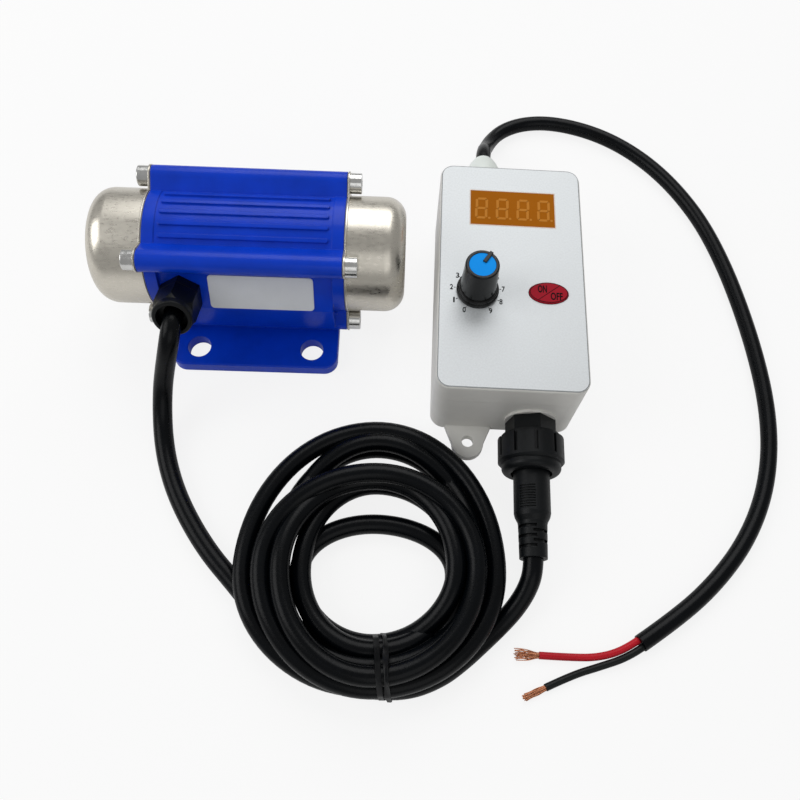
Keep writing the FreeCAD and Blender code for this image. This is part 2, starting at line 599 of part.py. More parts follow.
def gland_nut():
    start = GLAND_BASE + NUT_GAP
    hex_l = GLAND_L - GLAND_COLLAR - start
    corner_r = GLAND_AF / math.sqrt(3)
    round_off = Part.makeCone(corner_r + hex_l * 0.35, GLAND_COLLAR_R, hex_l, gland_at(start), PAD_N)
    nut = gland_hexagon(hex_l, start).common(round_off)
    collar = cyl(GLAND_COLLAR_R, GLAND_COLLAR, gland_at(start + hex_l), PAD_N)
    end = gland_at(GLAND_L)
    mouth = [e for e in collar.Edges if e.Closed and (e.CenterOfMass - end).Length < 0.01]
    collar = collar.makeFillet(0.8, mouth)
    nut = union([nut, collar])
    return nut.cut(cyl(GLAND_MOUTH_R, GLAND_L + 2, gland_at(0), PAD_N))


def gland_seal():
    start = GLAND_BASE + GLAND_TOWER + 0.1
    return ring(GLAND_MOUTH_R - RUN, CORD_R, 3.4, gland_at(start), PAD_N)


# ---------------------------------------------------------------- controller box
def placed(shape):
    """Puts a shape made about the box's own centre in its place beside the motor."""
    moved = shape.copy()
    moved.rotate(ORIGIN, Z, BOX_TURN)
    moved.translate(V(BOX_X, BOX_Y, 0))
    return moved


def box_shell(z0, height, inset, radius):
    return rounded_plate(BOX_W - 2 * inset, BOX_L - 2 * inset, height, radius, V(0, 0, z0))


def post_places():
    return [(x, y) for x in (-POST_X, POST_X) for y in (-POST_Y, POST_Y)]


def ear(sign):
    """Screw ear on an end of the base; sign -1 is the near one on the left."""
    x, y = sign * EAR_X, sign * BOX_L / 2
    half = EAR_ROOT_W / 2
    inner = y - sign * 1.0
    tip_y = y + sign * (EAR_OUT - EAR_TIP_R)
    root = [(x - half, inner, 0), (x + half, inner, 0), (x + half, y, 0)]
    sides = [(x + EAR_TIP_R, tip_y, 0), (x - EAR_TIP_R, tip_y, 0), (x - half, y, 0)]
    plate = polygon(root + sides).extrude(Z * EAR_T)
    plate = union([plate, cyl(EAR_TIP_R, EAR_T, V(x, tip_y, 0))])
    return plate.cut(cyl(EAR_HOLE_R, EAR_T + 2, V(x, y + sign * EAR_HOLE_OUT, -1)))


def box_base():
    shell = box_shell(0, PARTING, 0, CORNER_R)
    shell = shell.makeFillet(1.0, edges_at(shell, "Z", 0))
    lip = box_shell(PARTING - 2, LIP_H + 2, WALL - LIP_WALL, CORNER_R - WALL + LIP_WALL)
    hollow = box_shell(WALL, BOX_H, WALL, CORNER_R - WALL)
    base = union([shell, lip]).cut(hollow)
    posts = [cyl(POST_R, PARTING - 1, V(x, y, 1)) for x, y in post_places()]
    board_posts = [
        cyl(BOARD_POST_R, BOARD_Z - 1, V(sx * BOARD_POST_X, sy * BOARD_POST_Y, 1))
        for sx in (-1, 1) for sy in (-1, 1)
    ]
    base = union([base] + posts + board_posts + [ear(-1), ear(1)])
    for x, y in post_places():
        base = base.cut(cyl(BOX_SCREW_R + 0.2, BOX_H, V(x, y, -1)))
        base = base.cut(cyl(BOX_SCREW_HEAD_R + 0.2, BOX_SCREW_HEAD_H + BOX_SCREW_SINK + 1, V(x, y, -1)))
    near, far = V(PLUG_X, -BOX_L / 2 - 1, PLUG_Z), V(SUPPLY_X, BOX_L / 2 + 1, SUPPLY_Z)
    base = base.cut(cyl(SOCKET_THREAD_R + RUN, WALL + 3, near, Y))
    return base.cut(cyl(SUPPLY_THREAD_R + RUN, WALL + 3, far, Y * -1))


def box_lid():
    lid = box_shell(PARTING, BOX_H - PARTING, 0, CORNER_R)
    lid = lid.makeFillet(LID_ROUND, edges_at(lid, "Z", BOX_H))
    lid = lid.cut(box_shell(PARTING - 1, LID_UNDER - PARTING + 1, WALL, CORNER_R - WALL))
    rebate = WALL - LIP_WALL - 0.1
    lid = lid.cut(box_shell(PARTING - 1, LIP_H + 1.1, rebate, CORNER_R - rebate))
    lid = lid.cut(box_shell(BOX_H - PANEL_T, PANEL_T + 1, PANEL_INSET - 0.05, PANEL_CORNER))
    posts = [cyl(POST_R, LID_UNDER + 1.0 - PARTING, V(x, y, PARTING)) for x, y in post_places()]
    lid = union([lid] + posts)
    for x, y in post_places():
        lid = lid.cut(cyl(BOX_SCREW_R + RUN, BOX_SCREW_GRIP + 2.0, V(x, y, PARTING - 1)))
    lid = lid.cut(block(WINDOW_L + 0.2, WINDOW_W + 0.2, BOX_H, V(WINDOW_X, WINDOW_Y, PARTING)))
    lid = lid.cut(cyl(BUSH_R + 0.1, BOX_H, V(KNOB_X, KNOB_Y, PARTING)))
    return lid.cut(oval(BUTTON_A + 0.25, BUTTON_B + 0.25, BOX_H, PARTING))


def oval(a, b, height, z):
    """Upright oval bar at the button's place."""
    curve = Part.Ellipse(V(BUTTON_X, BUTTON_Y, z), a, b).toShape()
    return Part.Face(Part.Wire([curve])).extrude(Z * height)


def panel():
    sheet = rounded_plate(
        BOX_W - 2 * PANEL_INSET, BOX_L - 2 * PANEL_INSET, PANEL_T, PANEL_CORNER, V(0, 0, BOX_H - PANEL_T)
    )
    sheet = sheet.cut(block(WINDOW_L + 0.1, WINDOW_W + 0.1, BOX_H, V(WINDOW_X, WINDOW_Y, PARTING)))
    sheet = sheet.cut(cyl(BUSH_R + 0.1, BOX_H, V(KNOB_X, KNOB_Y, PARTING)))
    return sheet.cut(oval(BUTTON_A + 0.2, BUTTON_B + 0.2, BOX_H, PARTING))


def box_screws():
    screws = []
    for x, y in post_places():
        z = BOX_SCREW_SINK + BOX_SCREW_HEAD_H
        head = cyl(BOX_SCREW_HEAD_R, BOX_SCREW_HEAD_H, V(x, y, BOX_SCREW_SINK))
        shank = cyl(BOX_SCREW_R, PARTING + BOX_SCREW_GRIP - z, V(x, y, z))
        cross = block(3.0, 0.8, 1.2, V(x, y, BOX_SCREW_SINK - 0.1)).fuse(
            block(0.8, 3.0, 1.2, V(x, y, BOX_SCREW_SINK - 0.1))
        )
        screws.append(union([head, shank]).cut(cross))
    return screws


# ---------------------------------------------------------------- inside the controller
def circuit_board():
    board = block(BOARD_W, BOARD_L, BOARD_T, V(0, 0, BOARD_Z))
    for x, y in post_places():
        board = board.cut(cyl(POST_R + 0.5, BOARD_T + 2, V(x, y, BOARD_Z - 1)))
    return board


def display_module():
    top = BOX_H - PANEL_T - 1.0
    face = block(WINDOW_L, WINDOW_W - 0.8, 8.0, V(WINDOW_X, WINDOW_Y, top - 8.0))
    header = block(WINDOW_L - 4, 8.0, top - 8.0 - BOARD_TOP, V(WINDOW_X, WINDOW_Y, BOARD_TOP))
    return union([face, header])


def display_window():
    return block(WINDOW_L, WINDOW_W, 1.0 + PANEL_T, V(WINDOW_X, WINDOW_Y, BOX_H - PANEL_T - 1.0))


def driver_components():
    """Smoothing capacitors, choke and power transistors on the board."""
    first = CAPACITOR_PITCH * 1.4
    parts = [
        cyl(CAPACITOR_R, CAPACITOR_H, V(i * CAPACITOR_PITCH - first, CAPACITOR_Y, BOARD_TOP))
        for i in range(2)
    ]
    parts.append(ring(CHOKE_R, CHOKE_HOLE_R, CHOKE_H, V(CHOKE_X, CAPACITOR_Y, BOARD_TOP)))
    for i in (-1, 0, 1):
        at = V(i * TRANSISTOR_PITCH, TRANSISTOR_Y, BOARD_TOP)
        parts.append(block(TRANSISTOR_W, TRANSISTOR_L, TRANSISTOR_H, at))
    return parts


def pot_body():
    top = LID_UNDER
    can = cyl(POT_R, POT_H, V(KNOB_X, KNOB_Y, top - POT_H))
    bush = cyl(BUSH_R, BOX_H + NUT_T + 0.4 - top, V(KNOB_X, KNOB_Y, top))
    legs = block(10.0, 2.0, top - POT_H - BOARD_TOP, V(KNOB_X, KNOB_Y - 4, BOARD_TOP))
    body = union([can, bush, legs])
    return body.cut(cyl(POT_SHAFT_R + RUN, BOX_H, V(KNOB_X, KNOB_Y, top - 3.0)))


def pot_shaft():
    bottom = LID_UNDER - 2.9
    return cyl(POT_SHAFT_R, BOX_H + KNOB_H - 4.0 - bottom, V(KNOB_X, KNOB_Y, bottom))


def pot_nut():
    nut = hexagon(NUT_AF, NUT_T, V(KNOB_X, KNOB_Y, BOX_H), Z)
    return nut.cut(cyl(BUSH_R, NUT_T + 2, V(KNOB_X, KNOB_Y, BOX_H - 1)))


def speed_knob():
    z0 = BOX_H + AIR
    top = BOX_H + KNOB_H
    at = V(KNOB_X, KNOB_Y, z0)
    skirt = cyl(KNOB_R - KNOB_STEP, KNOB_SKIRT_T, at)
    skirt = skirt.makeFillet(0.5, edges_at(skirt, "Z", z0 + KNOB_SKIRT_T))
    tier = cyl(KNOB_R, KNOB_STEP_T, at)
    tier = tier.makeFillet(KNOB_STEP * 0.8, edges_at(tier, "Z", z0 + KNOB_STEP_T))
    body = Part.makeCone(KNOB_BODY_R, KNOB_TOP_R, top - z0, at)
    body = body.makeFillet(0.5, edges_at(body, "Z", top))
    pointer = block(1.2, KNOB_TOP_R - 1.0, 0.9, ORIGIN)
    pointer.translate(V(0, (KNOB_TOP_R + 1.2) / 2, top - CAP_SINK))
    pointer.rotate(ORIGIN, Z, KNOB_TURN)
    pointer.translate(V(KNOB_X, KNOB_Y, 0))
    knob = union([skirt, tier, body]).cut(cyl(CAP_R + FIT, 2.0, V(KNOB_X, KNOB_Y, top - CAP_SINK)))
    knob = knob.cut(cyl(NUT_AF / math.sqrt(3) + AIR, NUT_T + AIR, at))
    knob = knob.cut(cyl(POT_SHAFT_R + FIT, KNOB_H - 4.0, at))
    return knob, pointer


def knob_cap(pointer):
    """Coloured disc in the knob's top, slotted for the raised pointer."""
    z = BOX_H + KNOB_H - CAP_SINK
    disc = cyl(CAP_R, CAP_SINK - 0.15, V(KNOB_X, KNOB_Y, z))
    grown = pointer.makeOffsetShape(FIT, 0.001)
    return disc.cut(grown)


def power_button():
    top = BOX_H + BUTTON_PROUD
    cap = oval(BUTTON_A, BUTTON_B, top - LID_UNDER + 0.4, LID_UNDER - 0.4)
    cap = cap.makeFillet(0.3, edges_at(cap, "Z", top))
    flange = oval(BUTTON_A + 1.0, BUTTON_B + 1.0, 0.8, LID_UNDER - 0.4 - 0.8)
    bottom = BOARD_TOP + 3.0 + BUTTON_TRAVEL + 0.3
    stem = cyl(BUTTON_STEM_R, LID_UNDER - 1.0 - bottom, V(BUTTON_X, BUTTON_Y, bottom))
    return union([cap, flange, stem])


def switch_body():
    body = block(6.0, 6.0, 6.0, V(BUTTON_X, BUTTON_Y, BOARD_TOP))
    return body.cut(cyl(BUTTON_STEM_R + RUN, 4.0, V(BUTTON_X, BUTTON_Y, BOARD_TOP + 3.0)))


# ---------------------------------------------------------------- supply gland
def supply_at(out):
    return V(SUPPLY_X, BOX_L / 2 + out, SUPPLY_Z)


def supply_gland_body():
    parts = [
        hexagon(SUPPLY_AF, SUPPLY_BASE, supply_at(0), Y),
        cyl(SUPPLY_THREAD_R, WALL + SUPPLY_THREAD_IN, supply_at(0), Y * -1),
        cyl(SUPPLY_THREAD_R, SUPPLY_THREAD_OUT, supply_at(SUPPLY_BASE), Y),
    ]
    return union(parts).cut(cyl(SUPPLY_BORE_R, 3 * SUPPLY_NUT_L, supply_at(-SUPPLY_NUT_L), Y))


def supply_gland_nut():
    start = SUPPLY_BASE + NUT_GAP
    end = start + SUPPLY_NUT_L
    dome = end - SUPPLY_DOME
    profile = [
        supply_at(end),
        supply_at(start),
        supply_at(start) + X * SUPPLY_NUT_R,
        supply_at(dome) + X * SUPPLY_NUT_R,
    ]
    shoulder = supply_at(end - SUPPLY_DOME / 2) + X * SUPPLY_SHOULDER_R
    tip = supply_at(end) + X * SUPPLY_TIP_R
    edges = [Part.LineSegment(a, b).toShape() for a, b in zip(profile, profile[1:])]
    edges.append(Part.Arc(profile[-1], shoulder, tip).toShape())
    edges.append(Part.LineSegment(tip, profile[0]).toShape())
    nut = Part.Face(Part.Wire(edges)).revolve(supply_at(0), Y, 360)
    for i in range(12):
        rib = cyl(0.4, SUPPLY_GRIP_L, supply_at(start) + Z * (SUPPLY_NUT_R - 0.1), Y)
        rib.rotate(supply_at(0), Y, 30 * i)
        nut = nut.fuse(rib)
    nut = nut.removeSplitter().cut(cyl(SUPPLY_MOUTH_R, SUPPLY_NUT_L + 2, supply_at(start - 1), Y))
    return nut.cut(cyl(SUPPLY_THREAD_R + FIT, SUPPLY_THREAD_OUT + AIR, supply_at(start - AIR), Y))


# ---------------------------------------------------------------- screw connector
def plug_at(out):
    return V(PLUG_X, -BOX_L / 2 - out, PLUG_Z)


def along_plug(radius, start, end):
    return cyl(radius, end - start, plug_at(start), Y * -1)


def socket_seal():
    return ring(SEAL_R, SOCKET_THREAD_R + RUN, SEAL_T, plug_at(0), Y * -1)


def socket_body():
    """Panel half of the connector: hexagon, threaded barrel, and its tail in the box."""
    bar = hexagon(SOCKET_AF, SOCKET_HEX_T, plug_at(SEAL_T), Y * -1)
    bar.rotate(plug_at(0), Y, SOCKET_TURN)
    parts = [
        bar,
        along_plug(SOCKET_BARREL_R, SEAL_T + SOCKET_HEX_T, SOCKET_END),
        along_plug(SOCKET_THREAD_R, -SOCKET_BACK, SEAL_T),
    ]
    return union(parts).cut(along_plug(SOCKET_BORE_R, SEAL_T + SOCKET_HEX_T, SOCKET_END + 1))


def socket_nut():
    nut = hexagon(SOCKET_NUT_AF, 3.0, plug_at(-WALL), Y)
    return nut.cut(along_plug(SOCKET_THREAD_R + FIT, -SOCKET_BACK, 0))


def coupling_ring():
    """Ribbed ring that draws the plug on to the socket's thread."""
    body = along_plug(NUT_R, NUT_START, NUT_END)
    end = plug_at(NUT_END)
    rounded = [e for e in body.Edges if e.Closed and (e.CenterOfMass - end).Length < 0.01]
    body = body.makeFillet(NUT_END_ROUND, rounded)
    rim = along_plug(NUT_R + NUT_RIB, NUT_RIB_START, NUT_RIB_END)
    low = plug_at(NUT_RIB_END)
    rim = rim.makeChamfer(0.8, [e for e in rim.Edges if e.Closed and (e.CenterOfMass - low).Length < 0.01])
    for i in range(NUT_RIBS):
        slot = block(NUT_SLOT_W, NUT_SLOT_END - NUT_RIB_START + 1, 2 * NUT_RIB, V(0, 0, NUT_R))
        slot.translate(plug_at((NUT_SLOT_END + NUT_RIB_START - 1) / 2))
        slot.rotate(plug_at(0), Y, 360 * i / NUT_RIBS)
        rim = rim.cut(slot)
    body = union([body, rim])
    body = body.cut(along_plug(NUT_BORE_R, NUT_START - 1, NUT_SHOULDER))
    body = body.cut(along_plug(NUT_HOLE_R, NUT_START - 1, NUT_END + 1))
    return body.cut(along_plug(NUT_MOUTH_R, NUT_SHOULDER + NUT_SHOULDER_T, NUT_END + 1))


def plug_body():
    """Moulded plug with grip ridges and a slotted strain relief."""
    profile = [
        (PLUG_NOSE_START, PLUG_NOSE_R),
        (PLUG_FLANGE_END - PLUG_FLANGE_T, PLUG_NOSE_R),
        (PLUG_FLANGE_END - PLUG_FLANGE_T, PLUG_FLANGE_R),
        (PLUG_FLANGE_END, PLUG_FLANGE_R),
        (PLUG_FLANGE_END, PLUG_NECK_R),
        (NUT_END - 1.8, PLUG_NECK_R),
        (NUT_END - 1.0, PLUG_R),
        (PLUG_BODY_END, PLUG_R),
        (PLUG_BODY_END + 1.3, PLUG_R - 0.3),
        (PLUG_TAPER_END, RELIEF_R + 0.15),
        (PLUG_TAPER_END + 0.8, RELIEF_R),
        (PLUG_END, RELIEF_TIP_R),
    ]
    y0 = -BOX_L / 2
    outline = [(PLUG_X, y0 - t, PLUG_Z + r) for t, r in profile]
    outline += [(PLUG_X, y0 - PLUG_END, PLUG_Z), (PLUG_X, y0 - PLUG_NOSE_START, PLUG_Z)]
    body = polygon(outline).revolve(plug_at(0), Y, 360)
    for i in range(RELIEF_SLOTS):
        out = RELIEF_SLOT_START + i * RELIEF_PITCH
        groove = ring(RELIEF_R + 1, CORD_R + RUN + RELIEF_WALL, RELIEF_SLOT_W, plug_at(out), Y * -1)
        for side in (-1, 1):
            lean = side if i % 2 else -side
            reach = RELIEF_R + RELIEF_LAP
            z = PLUG_Z if side > 0 else PLUG_Z - 2 * RELIEF_R
            centre = V(PLUG_X + lean * (reach / 2 - RELIEF_LAP), y0 - out, z)
            body = body.cut(groove.common(block(reach, 4 * RELIEF_SLOT_W, 2 * RELIEF_R, centre)))
    skin = ring(PLUG_R + 1, PLUG_R - GRIP_DEPTH, PLUG_BODY_END - NUT_END, plug_at(NUT_END), Y * -1)
    for i in range(GRIPS):
        ridge = block(GRIP_L, GRIP_W, PLUG_R, plug_at(GRIP_START + GRIP_PITCH * i))
        ridge.rotate(plug_at(0), Y, GRIP_TURN)
        body = body.cut(ridge.common(skin))
    return body.cut(along_plug(CORD_R + RUN, PLUG_END - 6.0, PLUG_END + 1))


def plug_pins():
    pins = []
    for i in range(3):
        a = math.radians(90 + 120 * i)
        at = plug_at(SEAL_T + SOCKET_HEX_T + 0.1) + X * (2.6 * math.cos(a)) + Z * (2.6 * math.sin(a))
        pins.append(cyl(PIN_R, PLUG_NOSE_START - SEAL_T - SOCKET_HEX_T - 0.1, at, Y * -1))
    return pins


# ---------------------------------------------------------------- cords
def cord(route, radius, name):
    """Tube of straight runs joined by tangent arcs, each arc 0.45 of its shorter run."""
    points = [V(p) for p in route]
    edges, radii, start = [], [], points[0]
    for before, at, after in zip(points, points[1:], points[2:]):
        into, out = (at - before), (after - at)
        turn = into.getAngle(out)
        reach = 0.45 * min(into.Length, out.Length)
        radii.append(reach / math.tan(turn / 2))
        into.normalize()
        out.normalize()
        a, b = at - into * reach, at + out * reach
        middle = out - into
        middle.normalize()
        sagitta = radii[-1] * (1 / math.cos(turn / 2) - 1)
        edges += [Part.LineSegment(start, a).toShape(), Part.Arc(a, at + middle * sagitta, b).toShape()]
        start = b
    edges.append(Part.LineSegment(start, points[-1]).toShape())
    total = sum(e.Length for e in edges)
    wire = Part.Wire(edges)
    first = points[1] - points[0]
    ring_wire = Part.Wire([Part.makeCircle(radius, points[0], first)])
    tube = wire.makePipeShell([ring_wire], True, False)
    share = tube.Volume / (math.pi * radius**2 * total)
    print(name, "length", round(total, 1), "volume share", round(share, 4),
          "radii", [round(r, 1) for r in radii])
    return tube


def cord_coil():
    """Outer shape of the tied coil: an eccentric flat ring with rounded edges."""
    outer = cyl(COIL_R, COIL_H, V(COIL_X, COIL_Y, 0))
    outer = outer.makeFillet(COIL_ROUND, edges_at(outer, "Z", 0) + edges_at(outer, "Z", COIL_H))
    rim = Part.Ellipse(V(HOLE_X, HOLE_Y, -1), HOLE_A, HOLE_B).toShape()
    return outer.cut(Part.Face(Part.Wire([rim])).extrude(Z * (COIL_H + 2)))


def coil_tie():
    """Twisted strap bent over the bundle at the coil's narrow side."""
    near = COIL_Y - math.sqrt(COIL_R**2 - (TIE_X - COIL_X) ** 2)
    far = HOLE_Y - HOLE_B * math.sqrt(1 - ((TIE_X - HOLE_X) / HOLE_A) ** 2)
    width = far - near + 4 * TIE_R
    strap = block(4 * TIE_R, width, COIL_H + 2 * TIE_R - 0.4, V(TIE_X, (near + far) / 2, 0.2))
    inner = block(4 * TIE_R + 2, width - 2 * TIE_R, COIL_H + 1.2, V(TIE_X, (near + far) / 2, -1))
    return strap.cut(inner).cut(cord_coil())


def on_box(point):
    """Where a point of the box's own frame is in the assembly."""
    return FreeCAD.Rotation(Z, BOX_TURN).multVec(point) + V(BOX_X, BOX_Y, 0)


def lead_route():
    return [gland_at(LEAD_START), gland_at(LEAD_START + LEAD_STRAIGHT)] + [V(*p) for p in LEAD_ROUTE]


def tail_route():
    return [V(*p) for p in TAIL_ROUTE] + [on_box(plug_at(PLUG_END + 3.4)), on_box(plug_at(PLUG_END - 3.0))]


def supply_route():
    mouth = SUPPLY_BASE + NUT_GAP + SUPPLY_NUT_L
    return [on_box(supply_at(mouth - 5.0)), on_box(supply_at(mouth + 1.6))] + [V(*p) for p in SUPPLY_ROUTE]


def core_route(side, route):
    """Core that leaves the jacket's end beside the other one; side is +1 or -1."""
    before, end = V(*SUPPLY_ROUTE[-2]), V(*SUPPLY_ROUTE[-1])
    direction = (end - before).normalize()
    start = end + Z.cross(direction) * (side * (CORE_R + RUN))
    return [start, start + direction * CORE_STRAIGHT] + [V(*p) for p in route]


def strands(route, bend):
    """Frayed copper end of a core."""
    end, before = V(*route[-1]), V(*route[-2])
    direction = end - before
    direction.z = 0
    direction.normalize()
    direction = FreeCAD.Rotation(Z, bend).multVec(direction)
    at = V(end.x, end.y, STRAND_END_R + 0.05)
    return Part.makeCone(STRAND_R, STRAND_END_R, STRAND_L, at, direction)


# ---------------------------------------------------------------- assembly
def build_motor():
    export("motor_frame", motor_frame())
    export("nameplate", nameplate())
    cover, seal, shield = end_cover(), gasket(), end_shield()
    export("end_cover_right", cover)
    export("end_cover_left", mirror_x(cover))
    export("gasket_right", seal)
    export("gasket_left", mirror_x(seal))
    export_group("cover_screws", cover_screws())
    export("end_shield_right", shield)
    export("end_shield_left", mirror_x(shield))
    clip = shield_ring()
    export_group("shield_retaining_rings", [clip, mirror_x(clip)])
    export_group("bearing_outer_races", bearing_races(False))
    export_group("bearing_inner_races", bearing_races(True))
    export_group("bearing_balls", bearing_balls())
    export("stator_core", stator_core())
    export_group("stator_windings", stator_windings())
    export("motor_shaft", motor_shaft())
    sleeve = ring(ROTOR_R - FIT, SHAFT_MID_R + FIT, 2 * STATOR_HALF, V(-STATOR_HALF, 0, SHAFT_H), X)
    export("rotor_core", sleeve)
    export_group("rotor_magnets", rotor_magnets())
    fixed = eccentric_weight(WEIGHT_X1, SHAFT_R + FIT)
    adjustable = eccentric_weight(WEIGHT_X2, SHAFT_R + RUN)
    export("fixed_weight_right", fixed)
    export("fixed_weight_left", mirror_x(fixed))
    export("adjustable_weight_right", adjustable)
    export("adjustable_weight_left", mirror_x(adjustable))
    fixed_screw, adjust_screw = clamp_screw(WEIGHT_X1), clamp_screw(WEIGHT_X2)
    export_group("fixed_weight_screws", [fixed_screw, mirror_x(fixed_screw)])
    export("adjust_screw_right", adjust_screw)
    export("adjust_screw_left", mirror_x(adjust_screw))
    export_group("shaft_circlips", [shaft_circlip(1), shaft_circlip(-1)])
    export("gland_body", gland_body())
    export("gland_nut", gland_nut())
    export("gland_seal", gland_seal())


def build_controller():
    knob, pointer = speed_knob()
    cap = knob_cap(pointer)
    pieces = {
        "box_base": box_base(),
        "box_lid": box_lid(),
        "front_panel": panel(),
        "circuit_board": circuit_board(),
        "display_module": display_module(),
        "display_window": display_window(),
        "pot_body": pot_body(),
        "pot_shaft": pot_shaft(),
        "pot_nut": pot_nut(),
        "speed_knob": union([knob, pointer]),
        "knob_cap": cap,
        "power_button": power_button(),
        "switch_body": switch_body(),
        "supply_gland_body": supply_gland_body(),
        "supply_gland_nut": supply_gland_nut(),
        "socket_seal": socket_seal(),
        "socket_body": socket_body(),
        "socket_nut": socket_nut(),
        "coupling_ring": coupling_ring(),
        "plug_body": plug_body(),
    }
    for name, shape in pieces.items():
        export(name, placed(shape))
    export_group("box_screws", [placed(s) for s in box_screws()])
    export_group("driver_components", [placed(s) for s in driver_components()])
    export_group("plug_pins", [placed(s) for s in plug_pins()])


def build_cords():
    export("motor_cord_lead", cord(lead_route(), CORD_R, "lead"))
    export("motor_cord_tail", cord(tail_route(), CORD_R, "tail"))
    export("motor_cord_coil", cord_coil())
    export("coil_tie", coil_tie())
    export("supply_cord", cord(supply_route(), SUPPLY_R, "supply"))
    export("core_red", cord(core_route(-1, RED_ROUTE), CORE_R, "red"))
    export("core_black", cord(core_route(1, BLACK_ROUTE), CORE_R, "black"))
    export_group("copper_strands", [strands(RED_ROUTE, -12), strands(BLACK_ROUTE, 4)])


os.makedirs("parts", exist_ok=True)
build_motor()
build_controller()
build_cords()
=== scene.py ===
"""Looks for the vibration motor and its in-line speed controller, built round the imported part.

Lengths are metres in the part's own frame: +X along the motor's shaft, +Z up, and the
origin at the centre of the motor foot's underside.
"""

import logging
import math
import random
from dataclasses import dataclass
from enum import Enum

import bmesh
import bpy
from mathutils import Matrix, Vector

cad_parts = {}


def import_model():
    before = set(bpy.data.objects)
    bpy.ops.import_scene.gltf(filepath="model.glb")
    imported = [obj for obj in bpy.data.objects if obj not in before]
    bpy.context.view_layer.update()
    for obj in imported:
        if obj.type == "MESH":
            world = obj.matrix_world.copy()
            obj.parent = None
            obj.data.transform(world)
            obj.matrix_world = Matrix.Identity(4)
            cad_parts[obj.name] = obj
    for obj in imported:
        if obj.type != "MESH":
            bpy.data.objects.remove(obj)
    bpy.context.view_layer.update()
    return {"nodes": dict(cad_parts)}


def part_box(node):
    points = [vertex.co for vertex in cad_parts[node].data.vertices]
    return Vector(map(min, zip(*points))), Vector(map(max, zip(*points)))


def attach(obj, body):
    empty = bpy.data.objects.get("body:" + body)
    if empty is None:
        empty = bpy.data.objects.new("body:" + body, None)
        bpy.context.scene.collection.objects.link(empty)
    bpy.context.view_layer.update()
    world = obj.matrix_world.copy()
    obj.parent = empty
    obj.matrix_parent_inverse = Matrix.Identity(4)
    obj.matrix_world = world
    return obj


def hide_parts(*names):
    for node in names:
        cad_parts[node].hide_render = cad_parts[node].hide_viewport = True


LOG = logging.getLogger("vibration_motor")
MM = 0.001
WHITE = (1.0, 1.0, 1.0, 1.0)
Point = tuple[float, float, float]

# What every finish shares: how its noise fades, spreads and shades, and how its edges and coat look.
OCTAVE_FADE = 0.55
EDGE_SAMPLES = 6
BROAD_TO_FINE = 14
GRAIN_LOW, GRAIN_HIGH = 0.3, 0.7
COAT_ROUGHNESS = 0.12


# ---------------------------------------------------------------- shader values
class Value:
    """A shader socket that plain arithmetic can be done with."""

    def __init__(self, graph: "Graph", socket: bpy.types.NodeSocket) -> None:
        """Wraps an output socket of a graph's node."""
        self.graph = graph
        self.socket = socket

    def _math(self, operation: str, other: "Value | float", swap: bool = False) -> "Value":
        """Returns the Math node of this value and another one, which comes first where they swap."""
        pair = (other, self) if swap else (self, other)
        return self.graph.node("ShaderNodeMath", {0: pair[0], 1: pair[1]}, operation=operation)

    def __add__(self, other: "Value | float") -> "Value":
        """Returns the sum."""
        return self._math("ADD", other)

    def __radd__(self, other: float) -> "Value":
        """Returns a number plus this value."""
        return self._math("ADD", other, swap=True)

    def __mul__(self, other: "Value | float") -> "Value":
        """Returns the product."""
        return self._math("MULTIPLY", other)

    def __rmul__(self, other: float) -> "Value":
        """Returns a number times this value."""
        return self._math("MULTIPLY", other, swap=True)


class Graph:
    """A node tree that nodes are put into."""

    def __init__(self, tree: bpy.types.NodeTree) -> None:
        """Takes a node tree."""
        self.nodes = tree.nodes
        self.links = tree.links

    def put(self, socket: bpy.types.NodeSocket, value: object) -> None:
        """Links a value to an input, or sets the input to a plain number or colour.

        Args:
            socket: The input socket.
            value: A Value, a number or a tuple.
        """
        if isinstance(value, Value):
            self.links.new(value.socket, socket)
        else:
            socket.default_value = value

    def node(self, kind: str, inputs: dict | None = None, output: int | str = 0, **settings: object) -> Value:
        """Makes a node.

        Args:
            kind: The node's type name.
            inputs: Values by the input's name or number.
            output: The output's name or number.
            **settings: Attributes of the node.

        Returns:
            The chosen output.
        """
        made = self.nodes.new(kind)
        for key, value in settings.items():
            setattr(made, key, value)
        for key, value in (inputs or {}).items():
            self.put(made.inputs[key], value)
        return Value(self, made.outputs[output])

    def ray(self, kind: str) -> Value:
        """Returns 1 for rays of a kind, such as Is Camera Ray."""
        return self.node("ShaderNodeLightPath", output=kind)


